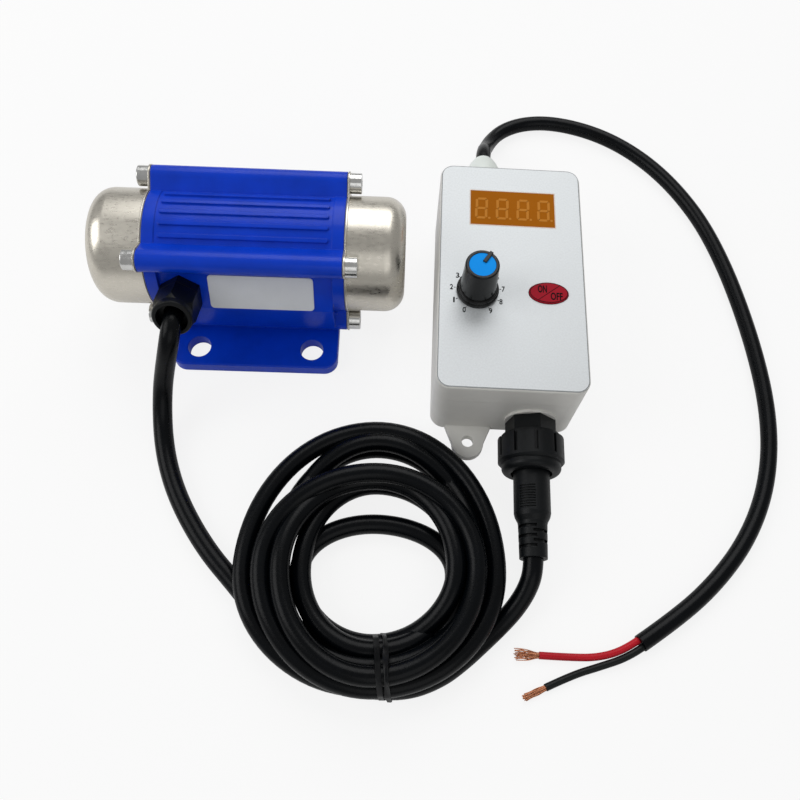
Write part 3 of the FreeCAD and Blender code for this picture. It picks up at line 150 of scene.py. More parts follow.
class Surface(Graph):
    """One material's nodes."""

    def __init__(self, name: str) -> None:
        """Starts a material with a principled shader.

        Args:
            name: The material's name.
        """
        self.material = bpy.data.materials.new(name)
        self.material.use_nodes = True
        super().__init__(self.material.node_tree)
        self.shader = self.nodes["Principled BSDF"]
        self.output = self.nodes["Material Output"]

    def place(self, scale: Point) -> Value:
        """Returns object coordinates, scaled along each axis."""
        raw = self.node("ShaderNodeTexCoord", output="Object")
        return self.node("ShaderNodeMapping", {"Vector": raw, "Scale": scale})

    def noise(self, scale: float, detail: float, stretch: Point) -> Value:
        """Returns noise from 0 to 1, at so many waves to a metre.

        Args:
            scale: Waves to a metre.
            detail: Octaves.
            stretch: Scale along each axis.

        Returns:
            The noise.
        """
        return self.node(
            "ShaderNodeTexNoise",
            {"Vector": self.place(stretch), "Scale": scale, "Detail": detail, "Roughness": OCTAVE_FADE},
        )

    def grain(self, value: Value, start: float, end: float) -> Value:
        """Returns noise spread from a start, where it is low, to an end, where it is high."""
        return self.node("ShaderNodeMapRange", {0: value, 1: GRAIN_LOW, 2: GRAIN_HIGH, 3: start, 4: end})

    def blend(self, factor: Value | float, first: object, second: object) -> Value:
        """Returns a mix of two colours.

        Args:
            factor: 0 for the first, 1 for the second.
            first: The first colour.
            second: The second colour.

        Returns:
            The mixed colour.
        """
        made = self.nodes.new("ShaderNodeMix")
        made.data_type = "RGBA"
        self.put(made.inputs[0], factor)
        self.put(made.inputs[6], first)
        self.put(made.inputs[7], second)
        return Value(self, made.outputs[2])

    def set(self, **inputs: object) -> None:
        """Sets the principled shader's inputs, each by its name with _ for a space."""
        for key, value in inputs.items():
            self.put(self.shader.inputs[key.replace("_", " ")], value)

    def relief(self, height: Value, depth: float, edge: float = 0.0) -> None:
        """Gives the shader a bumped normal, with its edges rounded.

        Args:
            height: Height from 0 to 1.
            depth: Height of the bumps, in metres.
            edge: Radius of the rounded edges, in metres.
        """
        inputs = {"Height": height, "Distance": depth, "Strength": 1.0}
        if edge:
            inputs["Normal"] = self.node("ShaderNodeBevel", {"Radius": edge}, samples=EDGE_SAMPLES)
        self.set(Normal=self.node("ShaderNodeBump", inputs))


def rgb(red: int, green: int, blue: int) -> tuple[float, float, float, float]:
    """Turns a screen colour into the renderer's own.

    Args:
        red: Red, 0 to 255.
        green: Green, 0 to 255.
        blue: Blue, 0 to 255.

    Returns:
        The colour and an alpha of 1.
    """
    linear = [c / 255 / 12.92 if c < 11 else ((c / 255 + 0.055) / 1.055) ** 2.4 for c in (red, green, blue)]
    return (*linear, 1.0)


@dataclass(frozen=True)
class Finish:
    """A surface with a grain, a slight change of shade and softened edges."""

    name: str
    colour: tuple[float, float, float, float]
    roughness: float
    metallic: float = 0.0
    coat: float = 0.0
    grain: float = 900.0
    depth: float = 0.00001
    shade: float = 0.12
    rough_spread: float = 0.08
    edge: float = 0.0002
    gloss: float = 0.5
    flecked: bool = False
    stretch: Point = (1.0, 1.0, 1.0)

    def material(self) -> bpy.types.Material:
        """Makes the material the first time that it is asked for.

        Returns:
            The material.
        """
        title = f"{self.name}_surface"
        known = bpy.data.materials.get(title)
        if known:
            return known
        g = Surface(title)
        fine = g.noise(self.grain, 4.0, self.stretch)
        broad = g.noise(self.grain / BROAD_TO_FINE, 3.0, self.stretch)
        flecks = fine if self.flecked else broad
        darker = tuple(c * (1 - self.shade) for c in self.colour[:3]) + (1.0,)
        lighter = tuple(min(1.0, c * (1 + self.shade)) for c in self.colour[:3]) + (1.0,)
        g.set(
            Base_Color=g.blend(g.grain(flecks, 0.0, 1.0), darker, lighter),
            Roughness=g.grain(fine, self.roughness - self.rough_spread, self.roughness + self.rough_spread),
            Metallic=self.metallic,
            Coat_Weight=self.coat,
            Coat_Roughness=COAT_ROUGHNESS,
            Specular_IOR_Level=self.gloss,
        )
        g.relief(fine, self.depth, self.edge)
        return g.material


CAST_BLUE = Finish("cast_blue_paint", rgb(0, 60, 200), 0.36, coat=0.12, grain=1500, depth=0.00003, shade=0.1,
                   edge=0.0006, gloss=0.16)
DRAWN_STEEL = Finish("drawn_steel", rgb(208, 203, 192), 0.31, metallic=1.0, grain=480, depth=0.000003, shade=0.08,
                     rough_spread=0.07, edge=0.0003, stretch=(1.0, 2.6, 2.6))
BRIGHT_STEEL = Finish("bright_steel", rgb(214, 214, 212), 0.18, metallic=1.0, grain=900, depth=0.000006, shade=0.1)
MACHINED_STEEL = Finish("machined_steel", rgb(168, 170, 172), 0.32, metallic=1.0, grain=700, shade=0.1,
                        stretch=(6.0, 1.0, 1.0))
GASKET_RUBBER = Finish("gasket_rubber", rgb(166, 166, 162), 0.6, grain=2200, gloss=0.25)
BLACK_NYLON = Finish("black_nylon", rgb(9, 12, 14), 0.42, grain=2600, depth=0.00002, shade=0.2, edge=0.0003,
                     gloss=0.2)
BLACK_GLOSS = Finish("black_gloss", rgb(6, 7, 8), 0.22, coat=0.08, grain=900, edge=0.0004, gloss=0.25)
CORD_JACKET = Finish("cord_jacket", rgb(3, 5, 8), 0.28, grain=1800, depth=0.00002, shade=0.25, gloss=0.14)
CASE_PLASTIC = Finish("case_plastic", rgb(226, 225, 220), 0.42, grain=3000, depth=0.000012, shade=0.02,
                      edge=0.0004)
WHITE_NYLON = Finish("white_nylon", rgb(232, 238, 233), 0.4, grain=2600, depth=0.00001, shade=0.03, edge=0.0004)
BARE_PLATE = Finish("bare_plate", rgb(226, 229, 233), 0.34, grain=1500, depth=0.000004, shade=0.03)
SILVER_FILM = Finish("silver_film", rgb(213, 217, 219), 0.4, metallic=0.2, grain=1500, depth=0.000002, shade=0.075,
                     rough_spread=0.1, edge=0.0001, flecked=True)
WINDOW_AMBER = Finish("window_amber", rgb(170, 98, 12), 0.5, grain=900, depth=0.000002, shade=0.04, gloss=0.03)
SEGMENT_PALE = Finish("segment_pale", rgb(200, 130, 50), 0.5, grain=900, depth=0.000002, shade=0.03, gloss=0.03)
WINDOW_RIM = Finish("window_rim", rgb(240, 222, 208), 0.5, grain=900, depth=0.000002, shade=0.03)
INK = Finish("dark_ink", rgb(12, 14, 17), 0.5, grain=900, depth=0.000002, shade=0.05, gloss=0.05)
# Painted shade: a thin dark grey line round the panel's edge stands in for the shade along the film's edge.
PANEL_EDGE_SHADE = Finish("painted_edge_shade", rgb(112, 116, 118), 0.5, metallic=0.3, grain=900, depth=0.000002, shade=0.1)
BUTTON_RED = Finish("button_red", rgb(170, 30, 46), 0.5, grain=1500, depth=0.000004, shade=0.06, gloss=0.06)
CAP_BLUE = Finish("cap_blue", rgb(20, 156, 255), 0.5, grain=1500, depth=0.000004, shade=0.04, gloss=0.05)
CORE_RED = Finish("core_red", rgb(190, 22, 38), 0.4, grain=1500, depth=0.000006, shade=0.08, gloss=0.2)
CORE_BLACK = Finish("core_black", rgb(14, 18, 18), 0.4, grain=1500, depth=0.000006, shade=0.12, gloss=0.2)
COPPER = Finish("bare_copper", rgb(200, 138, 104), 0.34, metallic=1.0, grain=2500, shade=0.2)
BOARD_GREEN = Finish("board_green", rgb(16, 88, 46), 0.4, coat=0.4)
MAGNET = Finish("nickel_plate", rgb(150, 150, 152), 0.25, metallic=1.0)
TIE_BLACK = Finish("tie_black", rgb(14, 15, 17), 0.4, grain=1500, gloss=0.2)


# ---------------------------------------------------------------- meshes
SAME_PLACE = 1e-7
SHARP_FROM = math.radians(35)
LETTER_WEIGHT = 0.025


def finish_mesh(shape: bmesh.types.BMesh, name: str, look: Finish, body: str, smooth: bool = True) -> bpy.types.Object:
    """Turns a bmesh into a dressed piece that rides on a body.

    Args:
        shape: The shape, already in its place.
        name: The piece's name.
        look: Its finish.
        body: The body that it moves with.
        smooth: Whether its faces are shaded smooth.

    Returns:
        The piece.
    """
    bmesh.ops.remove_doubles(shape, verts=shape.verts, dist=SAME_PLACE)
    bmesh.ops.recalc_face_normals(shape, faces=shape.faces)
    mesh = bpy.data.meshes.new(name)
    for face in shape.faces:
        face.smooth = smooth
    shape.to_mesh(mesh)
    shape.free()
    piece = bpy.data.objects.new(name, mesh)
    bpy.context.scene.collection.objects.link(piece)
    mesh.materials.append(look.material())
    if smooth:
        mesh.set_sharp_from_angle(angle=SHARP_FROM)
    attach(piece, body)
    LOG.info("%s is made in %s", name, look.name)
    return piece


def join(whole: bmesh.types.BMesh, part: bmesh.types.BMesh, place: Matrix) -> None:
    """Puts one shape into another and frees it.

    Args:
        whole: The shape that takes the part.
        part: The part, about the origin.
        place: Where the part goes.
    """
    part.transform(place)
    carrier = bpy.data.meshes.new("carrier")
    part.to_mesh(carrier)
    part.free()
    whole.from_mesh(carrier)
    bpy.data.meshes.remove(carrier)


def curve_shape(holder: bpy.types.Object) -> bmesh.types.BMesh:
    """Turns a curve or text object into a bmesh and removes it.

    Args:
        holder: The object.

    Returns:
        Its shape.
    """
    mesh = bpy.data.meshes.new_from_object(holder)
    shape = bmesh.new()
    shape.from_mesh(mesh)
    bpy.data.curves.remove(holder.data)
    bpy.data.meshes.remove(mesh)
    return shape


def lettering(words: str, width: float, height: float, thick: float) -> bmesh.types.BMesh:
    """Makes upright letters of a given size about the origin.

    Args:
        words: What they say.
        width: Width of the whole.
        height: Height of the whole.
        thick: How far they stand up.

    Returns:
        The letters, lying on the plane z = 0.
    """
    data = bpy.data.curves.new("letters", "FONT")
    data.body, data.resolution_u, data.offset = words, 3, LETTER_WEIGHT
    shape = curve_shape(bpy.data.objects.new("letters", data))
    low = Vector((min(v.co.x for v in shape.verts), min(v.co.y for v in shape.verts), 0.0))
    high = Vector((max(v.co.x for v in shape.verts), max(v.co.y for v in shape.verts), 0.0))
    bmesh.ops.translate(shape, vec=-(low + high) / 2, verts=shape.verts)
    size = high - low
    bmesh.ops.scale(shape, vec=(width / size.x, height / size.y, 1.0), verts=shape.verts)
    return raised(shape, thick)


def raised(shape: bmesh.types.BMesh, thick: float) -> bmesh.types.BMesh:
    """Gives a flat shape its thickness, upwards.

    Args:
        shape: The flat shape.
        thick: The thickness.

    Returns:
        The same shape.
    """
    lifted = bmesh.ops.extrude_face_region(shape, geom=shape.faces[:])["geom"]
    bmesh.ops.translate(shape, vec=(0, 0, thick), verts=[v for v in lifted if isinstance(v, bmesh.types.BMVert)])
    return shape


def stroke(length: float, width: float, thick: float) -> bmesh.types.BMesh:
    """Makes a bar with pointed ends, lying along x about the origin.

    Args:
        length: Tip to tip.
        width: Across.
        thick: How far it stands up.

    Returns:
        The bar.
    """
    shape = bmesh.new()
    point = width / math.sqrt(3)
    bmesh.ops.create_circle(shape, cap_ends=True, segments=6, radius=point)
    bmesh.ops.rotate(shape, matrix=Matrix.Rotation(math.radians(30), 3, "Z"), verts=shape.verts)
    for vert in shape.verts:
        vert.co.x += math.copysign(length / 2 - point, vert.co.x)
    return raised(shape, thick)


def band(flat: bmesh.types.BMesh, width: float, thick: float) -> bmesh.types.BMesh:
    """Keeps a narrow band round the outside of a flat face.

    Args:
        flat: A single face.
        width: The band's width.
        thick: How far it stands up.

    Returns:
        The same shape.
    """
    edge = bmesh.ops.inset_region(
        flat, faces=flat.faces[:], thickness=width, use_boundary=True, use_even_offset=True
    )["faces"]
    bmesh.ops.delete(flat, geom=[f for f in flat.faces if f not in edge], context="FACES")
    return raised(flat, thick)


def dress(node: bpy.types.Object, look: Finish) -> None:
    """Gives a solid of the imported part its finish.

    Args:
        node: The solid's object.
        look: Its finish.
    """
    node.data.materials.clear()
    node.data.materials.append(look.material())


# ---------------------------------------------------------------- studio
@dataclass(frozen=True)
class Lamp:
    """One soft square lamp."""

    name: str
    at: Point
    size: float
    power: float

    def build(self, target: Point) -> None:
        """Makes the lamp.

        Args:
            target: The place that it points at.
        """
        data = bpy.data.lights.new(self.name, "AREA")
        data.shape, data.size, data.energy = "SQUARE", self.size, self.power
        lamp = bpy.data.objects.new(self.name, data)
        way = Vector(target) - Vector(self.at)
        lamp.matrix_world = Matrix.Translation(self.at) @ way.to_track_quat("-Z", "Y").to_matrix().to_4x4()
        bpy.context.scene.collection.objects.link(lamp)


@dataclass
class Studio:
    """Camera, floor and lamps."""

    camera_at: Point = (0.05160, -0.16092, 0.26199)
    elevation: float = 1.16619
    roll: float = 0.08624
    yaw: float = 0.06080
    focal: float = 35.25
    sensor: float = 36.0
    nearest: float = 0.01
    shift: tuple[float, float] = (-0.01662, 0.01570)
    floor_size: float = 6.0
    floor_white: float = 0.92
    floor_rough: float = 0.9
    floor_seen: float = 0.84
    floor_mirrored: float = 0.3
    sky: float = 0.27
    sky_seen: float = 0.73
    sky_mirrored: float = 0.1
    lamps_aim: Point = (0.06, -0.03, 0.0)
    lamps: tuple[Lamp, ...] = (
        Lamp("back_softbox", (0.10, 0.75, 0.85), 0.9, 6.0),
        Lamp("left_softbox", (-0.80, -0.10, 0.70), 0.7, 3.8),
        Lamp("front_fill", (0.30, -0.85, 0.75), 0.8, 1.5),
    )

    def aim(self) -> Matrix:
        """Works out the camera's turn from its three angles.

        Returns:
            The turn.
        """
        look = Vector((
            math.sin(self.yaw) * math.cos(self.elevation),
            math.cos(self.yaw) * math.cos(self.elevation),
            -math.sin(self.elevation),
        ))
        up = Vector((
            math.sin(self.yaw) * math.sin(self.elevation),
            math.cos(self.yaw) * math.sin(self.elevation),
            math.cos(self.elevation),
        ))
        side = look.cross(up)
        cos, sin = math.cos(self.roll), math.sin(self.roll)
        right, top = side * cos + up * sin, up * cos - side * sin
        return Matrix((right, top, -look)).transposed().to_4x4()

    def camera(self) -> None:
        """Makes the camera and looks through it."""
        data = bpy.data.cameras.new("camera")
        data.lens, data.sensor_width = self.focal, self.sensor
        data.shift_x, data.shift_y = self.shift
        data.clip_start = self.nearest
        camera = bpy.data.objects.new("camera", data)
        camera.matrix_world = Matrix.Translation(self.camera_at) @ self.aim()
        bpy.context.scene.collection.objects.link(camera)
        bpy.context.scene.camera = camera

    def floor(self) -> None:
        """Makes the pale floor."""
        shape = bmesh.new()
        bmesh.ops.create_grid(shape, x_segments=1, y_segments=1, size=self.floor_size / 2)
        mesh = bpy.data.meshes.new("floor")
        shape.to_mesh(mesh)
        shape.free()
        floor = bpy.data.objects.new("floor", mesh)
        bpy.context.scene.collection.objects.link(floor)
        g = Surface("floor_white")
        g.set(Base_Color=(self.floor_white,) * 3 + (1.0,), Roughness=self.floor_rough)
        glow = g.node("ShaderNodeEmission", {"Color": WHITE, "Strength": 1.0})
        share = self.floor_seen * g.ray("Is Camera Ray") + self.floor_mirrored * g.ray("Is Glossy Ray")
        mixed = g.node("ShaderNodeMixShader", {0: share, 1: Value(g, g.shader.outputs[0]), 2: glow})
        g.links.new(mixed.socket, g.output.inputs["Surface"])
        mesh.materials.append(g.material)

    def lights(self) -> None:
        """Makes the lamps and the pale surroundings."""
        for lamp in self.lamps:
            lamp.build(self.lamps_aim)
        world = bpy.data.worlds.new("surroundings")
        world.use_nodes = True
        g = Graph(world.node_tree)
        background = g.nodes["Background"]
        background.inputs["Color"].default_value = WHITE
        mirrored = g.ray("Is Glossy Ray") + g.ray("Is Transmission Ray")
        strength = self.sky + self.sky_seen * g.ray("Is Camera Ray") + self.sky_mirrored * mirrored
        g.put(background.inputs["Strength"], strength)
        bpy.context.scene.world = world

    def build(self) -> None:
        """Sets up the whole studio."""
        self.camera()
        self.floor()
        self.lights()
        bpy.context.scene.view_settings.view_transform = "Standard"


# ---------------------------------------------------------------- cords
def millimetres(points: list[Point]) -> list[Vector]:
    """Turns points in millimetres into metres.

    Args:
        points: The points.

    Returns:
        The points as vectors.
    """
    return [Vector(p) * MM for p in points]


def cord_curve(name: str, points: list[Vector], radius: float, look: Finish) -> bpy.types.Object:
    """Makes a round cord along a smooth line.

    Args:
        name: The cord's name.
        points: The line's control points.
        radius: The cord's radius.
        look: Its finish.

    Returns:
        The cord.
    """
    data = bpy.data.curves.new(name, "CURVE")
    data.dimensions = "3D"
    data.bevel_depth, data.bevel_resolution, data.resolution_u = radius, 5, 6
    data.use_fill_caps = True
    spline = data.splines.new("NURBS")
    spline.points.add(len(points) - 1)
    for point, place in zip(spline.points, points):
        point.co = (*place, 1.0)
    spline.order_u = 3
    spline.use_endpoint_u = True
    cord = bpy.data.objects.new(name, data)
    bpy.context.scene.collection.objects.link(cord)
    data.materials.append(look.material())
    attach(cord, "base")
    LOG.info("%s is made in %s", name, look.name)
    return cord


@dataclass
class Turn:
    """One turn of the coil: its reach from the coil's centre and its height, at four places."""

    bottom: float
    right: float
    top: float
    left: float
    bottom_z: float
    right_z: float
    top_z: float
    left_z: float

    def quarters(self) -> list[tuple[float, float]]:
        """Lists the turn's four places.

        Returns:
            Reach and height at the bottom, right, top and left.
        """
        return [
            (self.bottom, self.bottom_z),
            (self.right, self.right_z),
            (self.top, self.top_z),
            (self.left, self.left_z),
        ]


@dataclass
class MotorCord:
    """The motor's lead, its tied coil and its tail to the plug, as one cord."""

    radius: float = 0.0033
    centre: tuple[float, float] = (46.5, -108.0)
    steps: int = 4
    swell: float = 1.019

    def lead(self) -> list[Point]:
        """Lists the points from the gland to the coil.

        Returns:
            The points.
        """
        return [
            (-22.3, -25.49, 31.59),
            (-22.3, -31.06, 34.31),
            (-22.7, -37.6, 33.6),
            (-24.4, -41.8, 28.0),
            (-26.8, -44.4, 20.4),
            (-28.8, -48.2, 13.2),
            (-29.4, -55.0, 7.6),
            (-28.6, -63.6, 4.2),
            (-26.0, -73.0, 3.3),
            (-21.6, -83.2, 3.3),
            (-15.2, -93.8, 3.3),
            (-7.6, -103.8, 3.3),
            (0.6, -112.2, 3.3),
            (8.4, -120.6, 3.3),
            (17.4, -128.6, 3.3),
            (27.4, -134.0, 3.3),
            (37.0, -136.6, 3.3),
        ]

    def tail(self) -> list[Point]:
        """Lists the points from the coil to the plug.

        Returns:
            The points.
        """
        return [
            (58.4, -144.4, 3.3),
            (68.6, -140.4, 3.3),
            (76.0, -134.8, 3.3),
            (82.0, -129.4, 3.3),
            (87.4, -124.4, 3.6),
            (92.4, -119.2, 5.2),
            (96.2, -113.4, 8.4),
            (97.95, -107.53, 11.5),
            (98.06, -101.13, 11.5),
        ]

    def turns(self) -> list[Turn]:
        """Lists the coil's turns, in the cord's order.

        Returns:
            The turns.
        """
        return [
            Turn(28.4, 34.2, 43.6, 31.2, 3.3, 3.3, 9.8, 3.3),
            Turn(30.4, 33.6, 43.3, 31.6, 9.0, 9.2, 3.3, 9.4),
            Turn(33.0, 28.5, 30.0, 23.6, 3.3, 8.5, 3.3, 8.6),
            Turn(25.6, 26.6, 16.2, 24.6, 9.2, 3.3, 3.3, 3.3),
            Turn(23.2, 26.3, 29.8, 29.7, 3.6, 13.6, 9.3, 15.0),
            Turn(33.6, 32.9, 30.6, 36.0, 14.2, 14.6, 15.0, 12.8),
            Turn(36.6, 39.6, 48.2, 42.4, 8.8, 9.2, 8.0, 8.5),
        ]

    def coil(self) -> list[Point]:
        """Works out the coil's points, round and round from its lowest place.

        Returns:
            The points.
        """
        quarters = [q for turn in self.turns() for q in turn.quarters()] + [(36.4, 3.3)]
        points = []
        for i, (here, there) in enumerate(zip(quarters, quarters[1:])):
            tall, wide = (here[0], there[0]) if i % 2 == 0 else (there[0], here[0])
            for step in range(self.steps):
                t = step / self.steps
                angle = math.radians(-90 + 90 * (i + t))
                x = self.centre[0] + self.swell * wide * math.cos(angle)
                y = self.centre[1] + self.swell * tall * math.sin(angle)
                rise = 0.5 - 0.5 * math.cos(math.pi * t)
                points.append((x, y, here[1] + (there[1] - here[1]) * rise))
        return points + [(self.centre[0], self.centre[1] - quarters[-1][0], quarters[-1][1])]

    def build(self) -> bpy.types.Object:
        """Makes the cord.

        Returns:
            The cord.
        """
        points = millimetres(self.lead() + self.coil() + self.tail())
        cord = cord_curve("motor_cord", points, self.radius, CORD_JACKET)
        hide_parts("motor_cord_lead", "motor_cord_coil", "motor_cord_tail")
        return cord


@dataclass
class CoilTie:
    """The wired twist tie, passed twice over the coil's bundle. Lengths are millimetres."""

    width: float = 1.9
    thick: float = 0.5
    ridge: float = 0.35
    waves: float = 1.5
    across_cells: int = 4
    along_cells: int = 48
    softening: float = 0.3
    over: tuple[tuple[float, float], ...] = (
        (-128.8, 0.9), (-128.1, 4.6), (-129.5, 9.4), (-133.0, 13.2), (-138.4, 17.4),
        (-143.6, 17.9), (-147.2, 13.4), (-148.1, 8.8), (-147.5, 0.9),
    )

    def along(self, t: float) -> tuple[float, float]:
        """Works out the place at a share of the way over the bundle.

        Args:
            t: The share, 0 to 1.

        Returns:
            The place's y and z.
        """
        place = t * (len(self.over) - 1)
        i = min(int(place), len(self.over) - 2)
        here, there = self.over[i], self.over[i + 1]
        return tuple(a + (b - a) * (place - i) for a, b in zip(here, there))

    def strap(self, name: str, feet: tuple[float, float], twist: float, phase: float) -> bpy.types.Object:
        """Makes one pass of the tie.

        Args:
            name: The piece's name.
            feet: x at its inner and outer foot, in millimetres.
            twist: How far it turns over, in radians.
            phase: Where the turning starts, in radians.

        Returns:
            The strap.
        """
        shape = bmesh.new()
        bmesh.ops.create_grid(shape, x_segments=self.across_cells, y_segments=self.along_cells, size=1.0)
        for vert in shape.verts:
            across, t = vert.co.x, (vert.co.y + 1) / 2
            y, z = self.along(t)
            lean = twist * math.sin(2 * math.pi * t * self.waves + phase)
            reach = across * self.width / 2
            lift = self.ridge * (1 - abs(across)) + abs(reach * math.sin(lean)) + reach * math.sin(lean)
            x = feet[0] + (feet[1] - feet[0]) * t + reach * math.cos(lean)
            vert.co = Vector((x, y, z + lift)) * MM
        bmesh.ops.recalc_face_normals(shape, faces=shape.faces)
        bmesh.ops.smooth_vert(
            shape, verts=shape.verts, factor=self.softening, use_axis_x=True, use_axis_y=True, use_axis_z=True
        )
        bmesh.ops.solidify(shape, geom=shape.faces[:], thickness=self.thick * MM)
        return finish_mesh(shape, name, TIE_BLACK, "base")

    def build(self) -> list[bpy.types.Object]:
        """Makes both passes.

        Returns:
            The passes.
        """
        first = self.strap("tie_pass_a", (46.9, 50.8), 0.5, 0.4)
        second = self.strap("tie_pass_b", (49.7, 53.0), 0.95, 2.2)
        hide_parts("coil_tie")
        return [first, second]


@dataclass
class SupplyCord:
    """The supply lead and its two bare-ended cores."""

    radius: float = 0.0029
    core_radius: float = 0.0012

    def jacket_points(self) -> list[Point]:
        """Lists the points from the box's gland to the end of the jacket.

        Returns:
            The points.
        """
        return [
            (83.42, 47.54, 17.0),
            (83.53, 54.14, 17.0),
            (84.6, 61.4, 13.6),
            (85.6, 66.8, 7.6),
            (88.9, 75.8, 3.9),
            (94.4, 82.2, 2.9),
            (102.6, 86.0, 2.9),
            (112.8, 87.2, 2.9),
            (124.2, 85.4, 2.9),
            (135.8, 81.2, 2.9),
            (146.8, 74.4, 2.9),
            (157.2, 64.8, 2.9),
            (166.2, 52.8, 2.9),
            (174.2, 37.6, 2.9),
            (180.2, 18.8, 2.9),
            (184.4, -1.6, 2.9),
            (187.2, -22.4, 2.9),
            (188.2, -42.4, 2.9),
            (186.4, -61.2, 2.9),
            (181.4, -78.4, 2.9),
            (172.8, -94.2, 2.9),
            (161.2, -107.8, 2.9),
            (147.6, -119.4, 2.9),
            (133.2, -128.8, 2.9),
        ]

    def build(self) -> list[bpy.types.Object]:
        """Makes the jacket and the cores.

        Returns:
            The jacket, the red core and the black core.
        """
        jacket = cord_curve("supply_lead", millimetres(self.jacket_points()), self.radius, CORD_JACKET)
        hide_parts("supply_cord")
        red = cord_curve("red_core", millimetres([
            (132.52, -127.75, 2.9), (127.49, -131.03, 2.9), (119.4, -133.3, 1.5), (110.2, -133.4, 1.2),
            (100.4, -133.0, 1.2),
        ]), self.core_radius, CORE_RED)
        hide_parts("core_red")
        black = cord_curve("black_core", millimetres([
            (133.88, -129.85, 2.9), (128.86, -133.12, 2.9), (119.4, -136.2, 1.4), (110.8, -138.8, 1.2),
            (102.0, -142.8, 1.2),
        ]), self.core_radius, CORE_BLACK)
        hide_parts("core_black")
        return [jacket, red, black]


@dataclass
class BareEnds:
    """The fanned copper strands at the ends of the supply lead's cores.

    Each bend is a share of the reach, a share of the fan's half width, a share of the sway and a height.
    """

    count: int = 22
    golden_turn: float = 2.4
    strand_radius: float = 0.00014
    length: float = 0.0082
    shortest: float = 0.86
    inside: float = 0.0015
    bundle: float = 0.0008
    straight: float = 0.10
    bends: tuple[tuple[float, float, float, float], ...] = (
        (0.42, 0.75, 1.0, 0.0009),
        (0.75, 1.0, -1.0, 0.0009),
        (1.0, 0.9, 0.3, 0.001),
    )
    sway: float = 0.35

    def strands(self, data: bpy.types.Curve, end: Point, way: Point, spread: float, seed: int) -> None:
        """Adds one core's strands to a curve.

        Args:
            data: The curve.
            end: The core's end, in millimetres.
            way: The way that the core points.
            spread: Half the fan's width at the tips.
            seed: Which fan it is.
        """
        rng = random.Random(seed)
        start, ahead = Vector(end) * MM, Vector(way).normalized()
        side = Vector((-ahead.y, ahead.x, 0.0))
        for i in range(self.count):
            angle = self.golden_turn * i
            share = math.sqrt((i + 0.5) / self.count)
            out, up = share * math.cos(angle), share * math.sin(angle)
            sway = rng.uniform(-self.sway, self.sway)
            reach = self.length * rng.uniform(self.shortest, 1.0)
            root = side * out * self.bundle + Vector((0, 0, up * self.bundle))
            spline = data.splines.new("NURBS")
            spline.points.add(len(self.bends) + 1)
            places = [start - ahead * self.inside + root, start + ahead * reach * self.straight + root]
            for along, wide, bent, tall in self.bends:
                aside = side * (out + bent * sway) * spread * wide
                places.append(start + ahead * reach * along + aside + Vector((0, 0, up * tall)))
            for point, place in zip(spline.points, places):
                place.z = max(place.z, self.strand_radius)
                point.co = (*place, 1.0)
            spline.order_u = 3
            spline.use_endpoint_u = True

    def build(self) -> bpy.types.Object:
        """Makes both fans as one piece.

        Returns:
            The piece.
        """
        data = bpy.data.curves.new("bare_strands", "CURVE")
        data.dimensions, data.use_fill_caps = "3D", True
        data.bevel_depth, data.bevel_resolution, data.resolution_u = self.strand_radius, 1, 3
        self.strands(data, (100.4, -133.0, 1.2), (-1.0, 0.04, 0.0), 0.0021, 3)
        self.strands(data, (102.0, -142.8, 1.2), (-0.91, -0.41, 0.0), 0.0012, 8)
        shape = curve_shape(bpy.data.objects.new("bare_strands", data))
        piece = finish_mesh(shape, "bare_strands", COPPER, "base")
        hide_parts("copper_strands")
        return piece


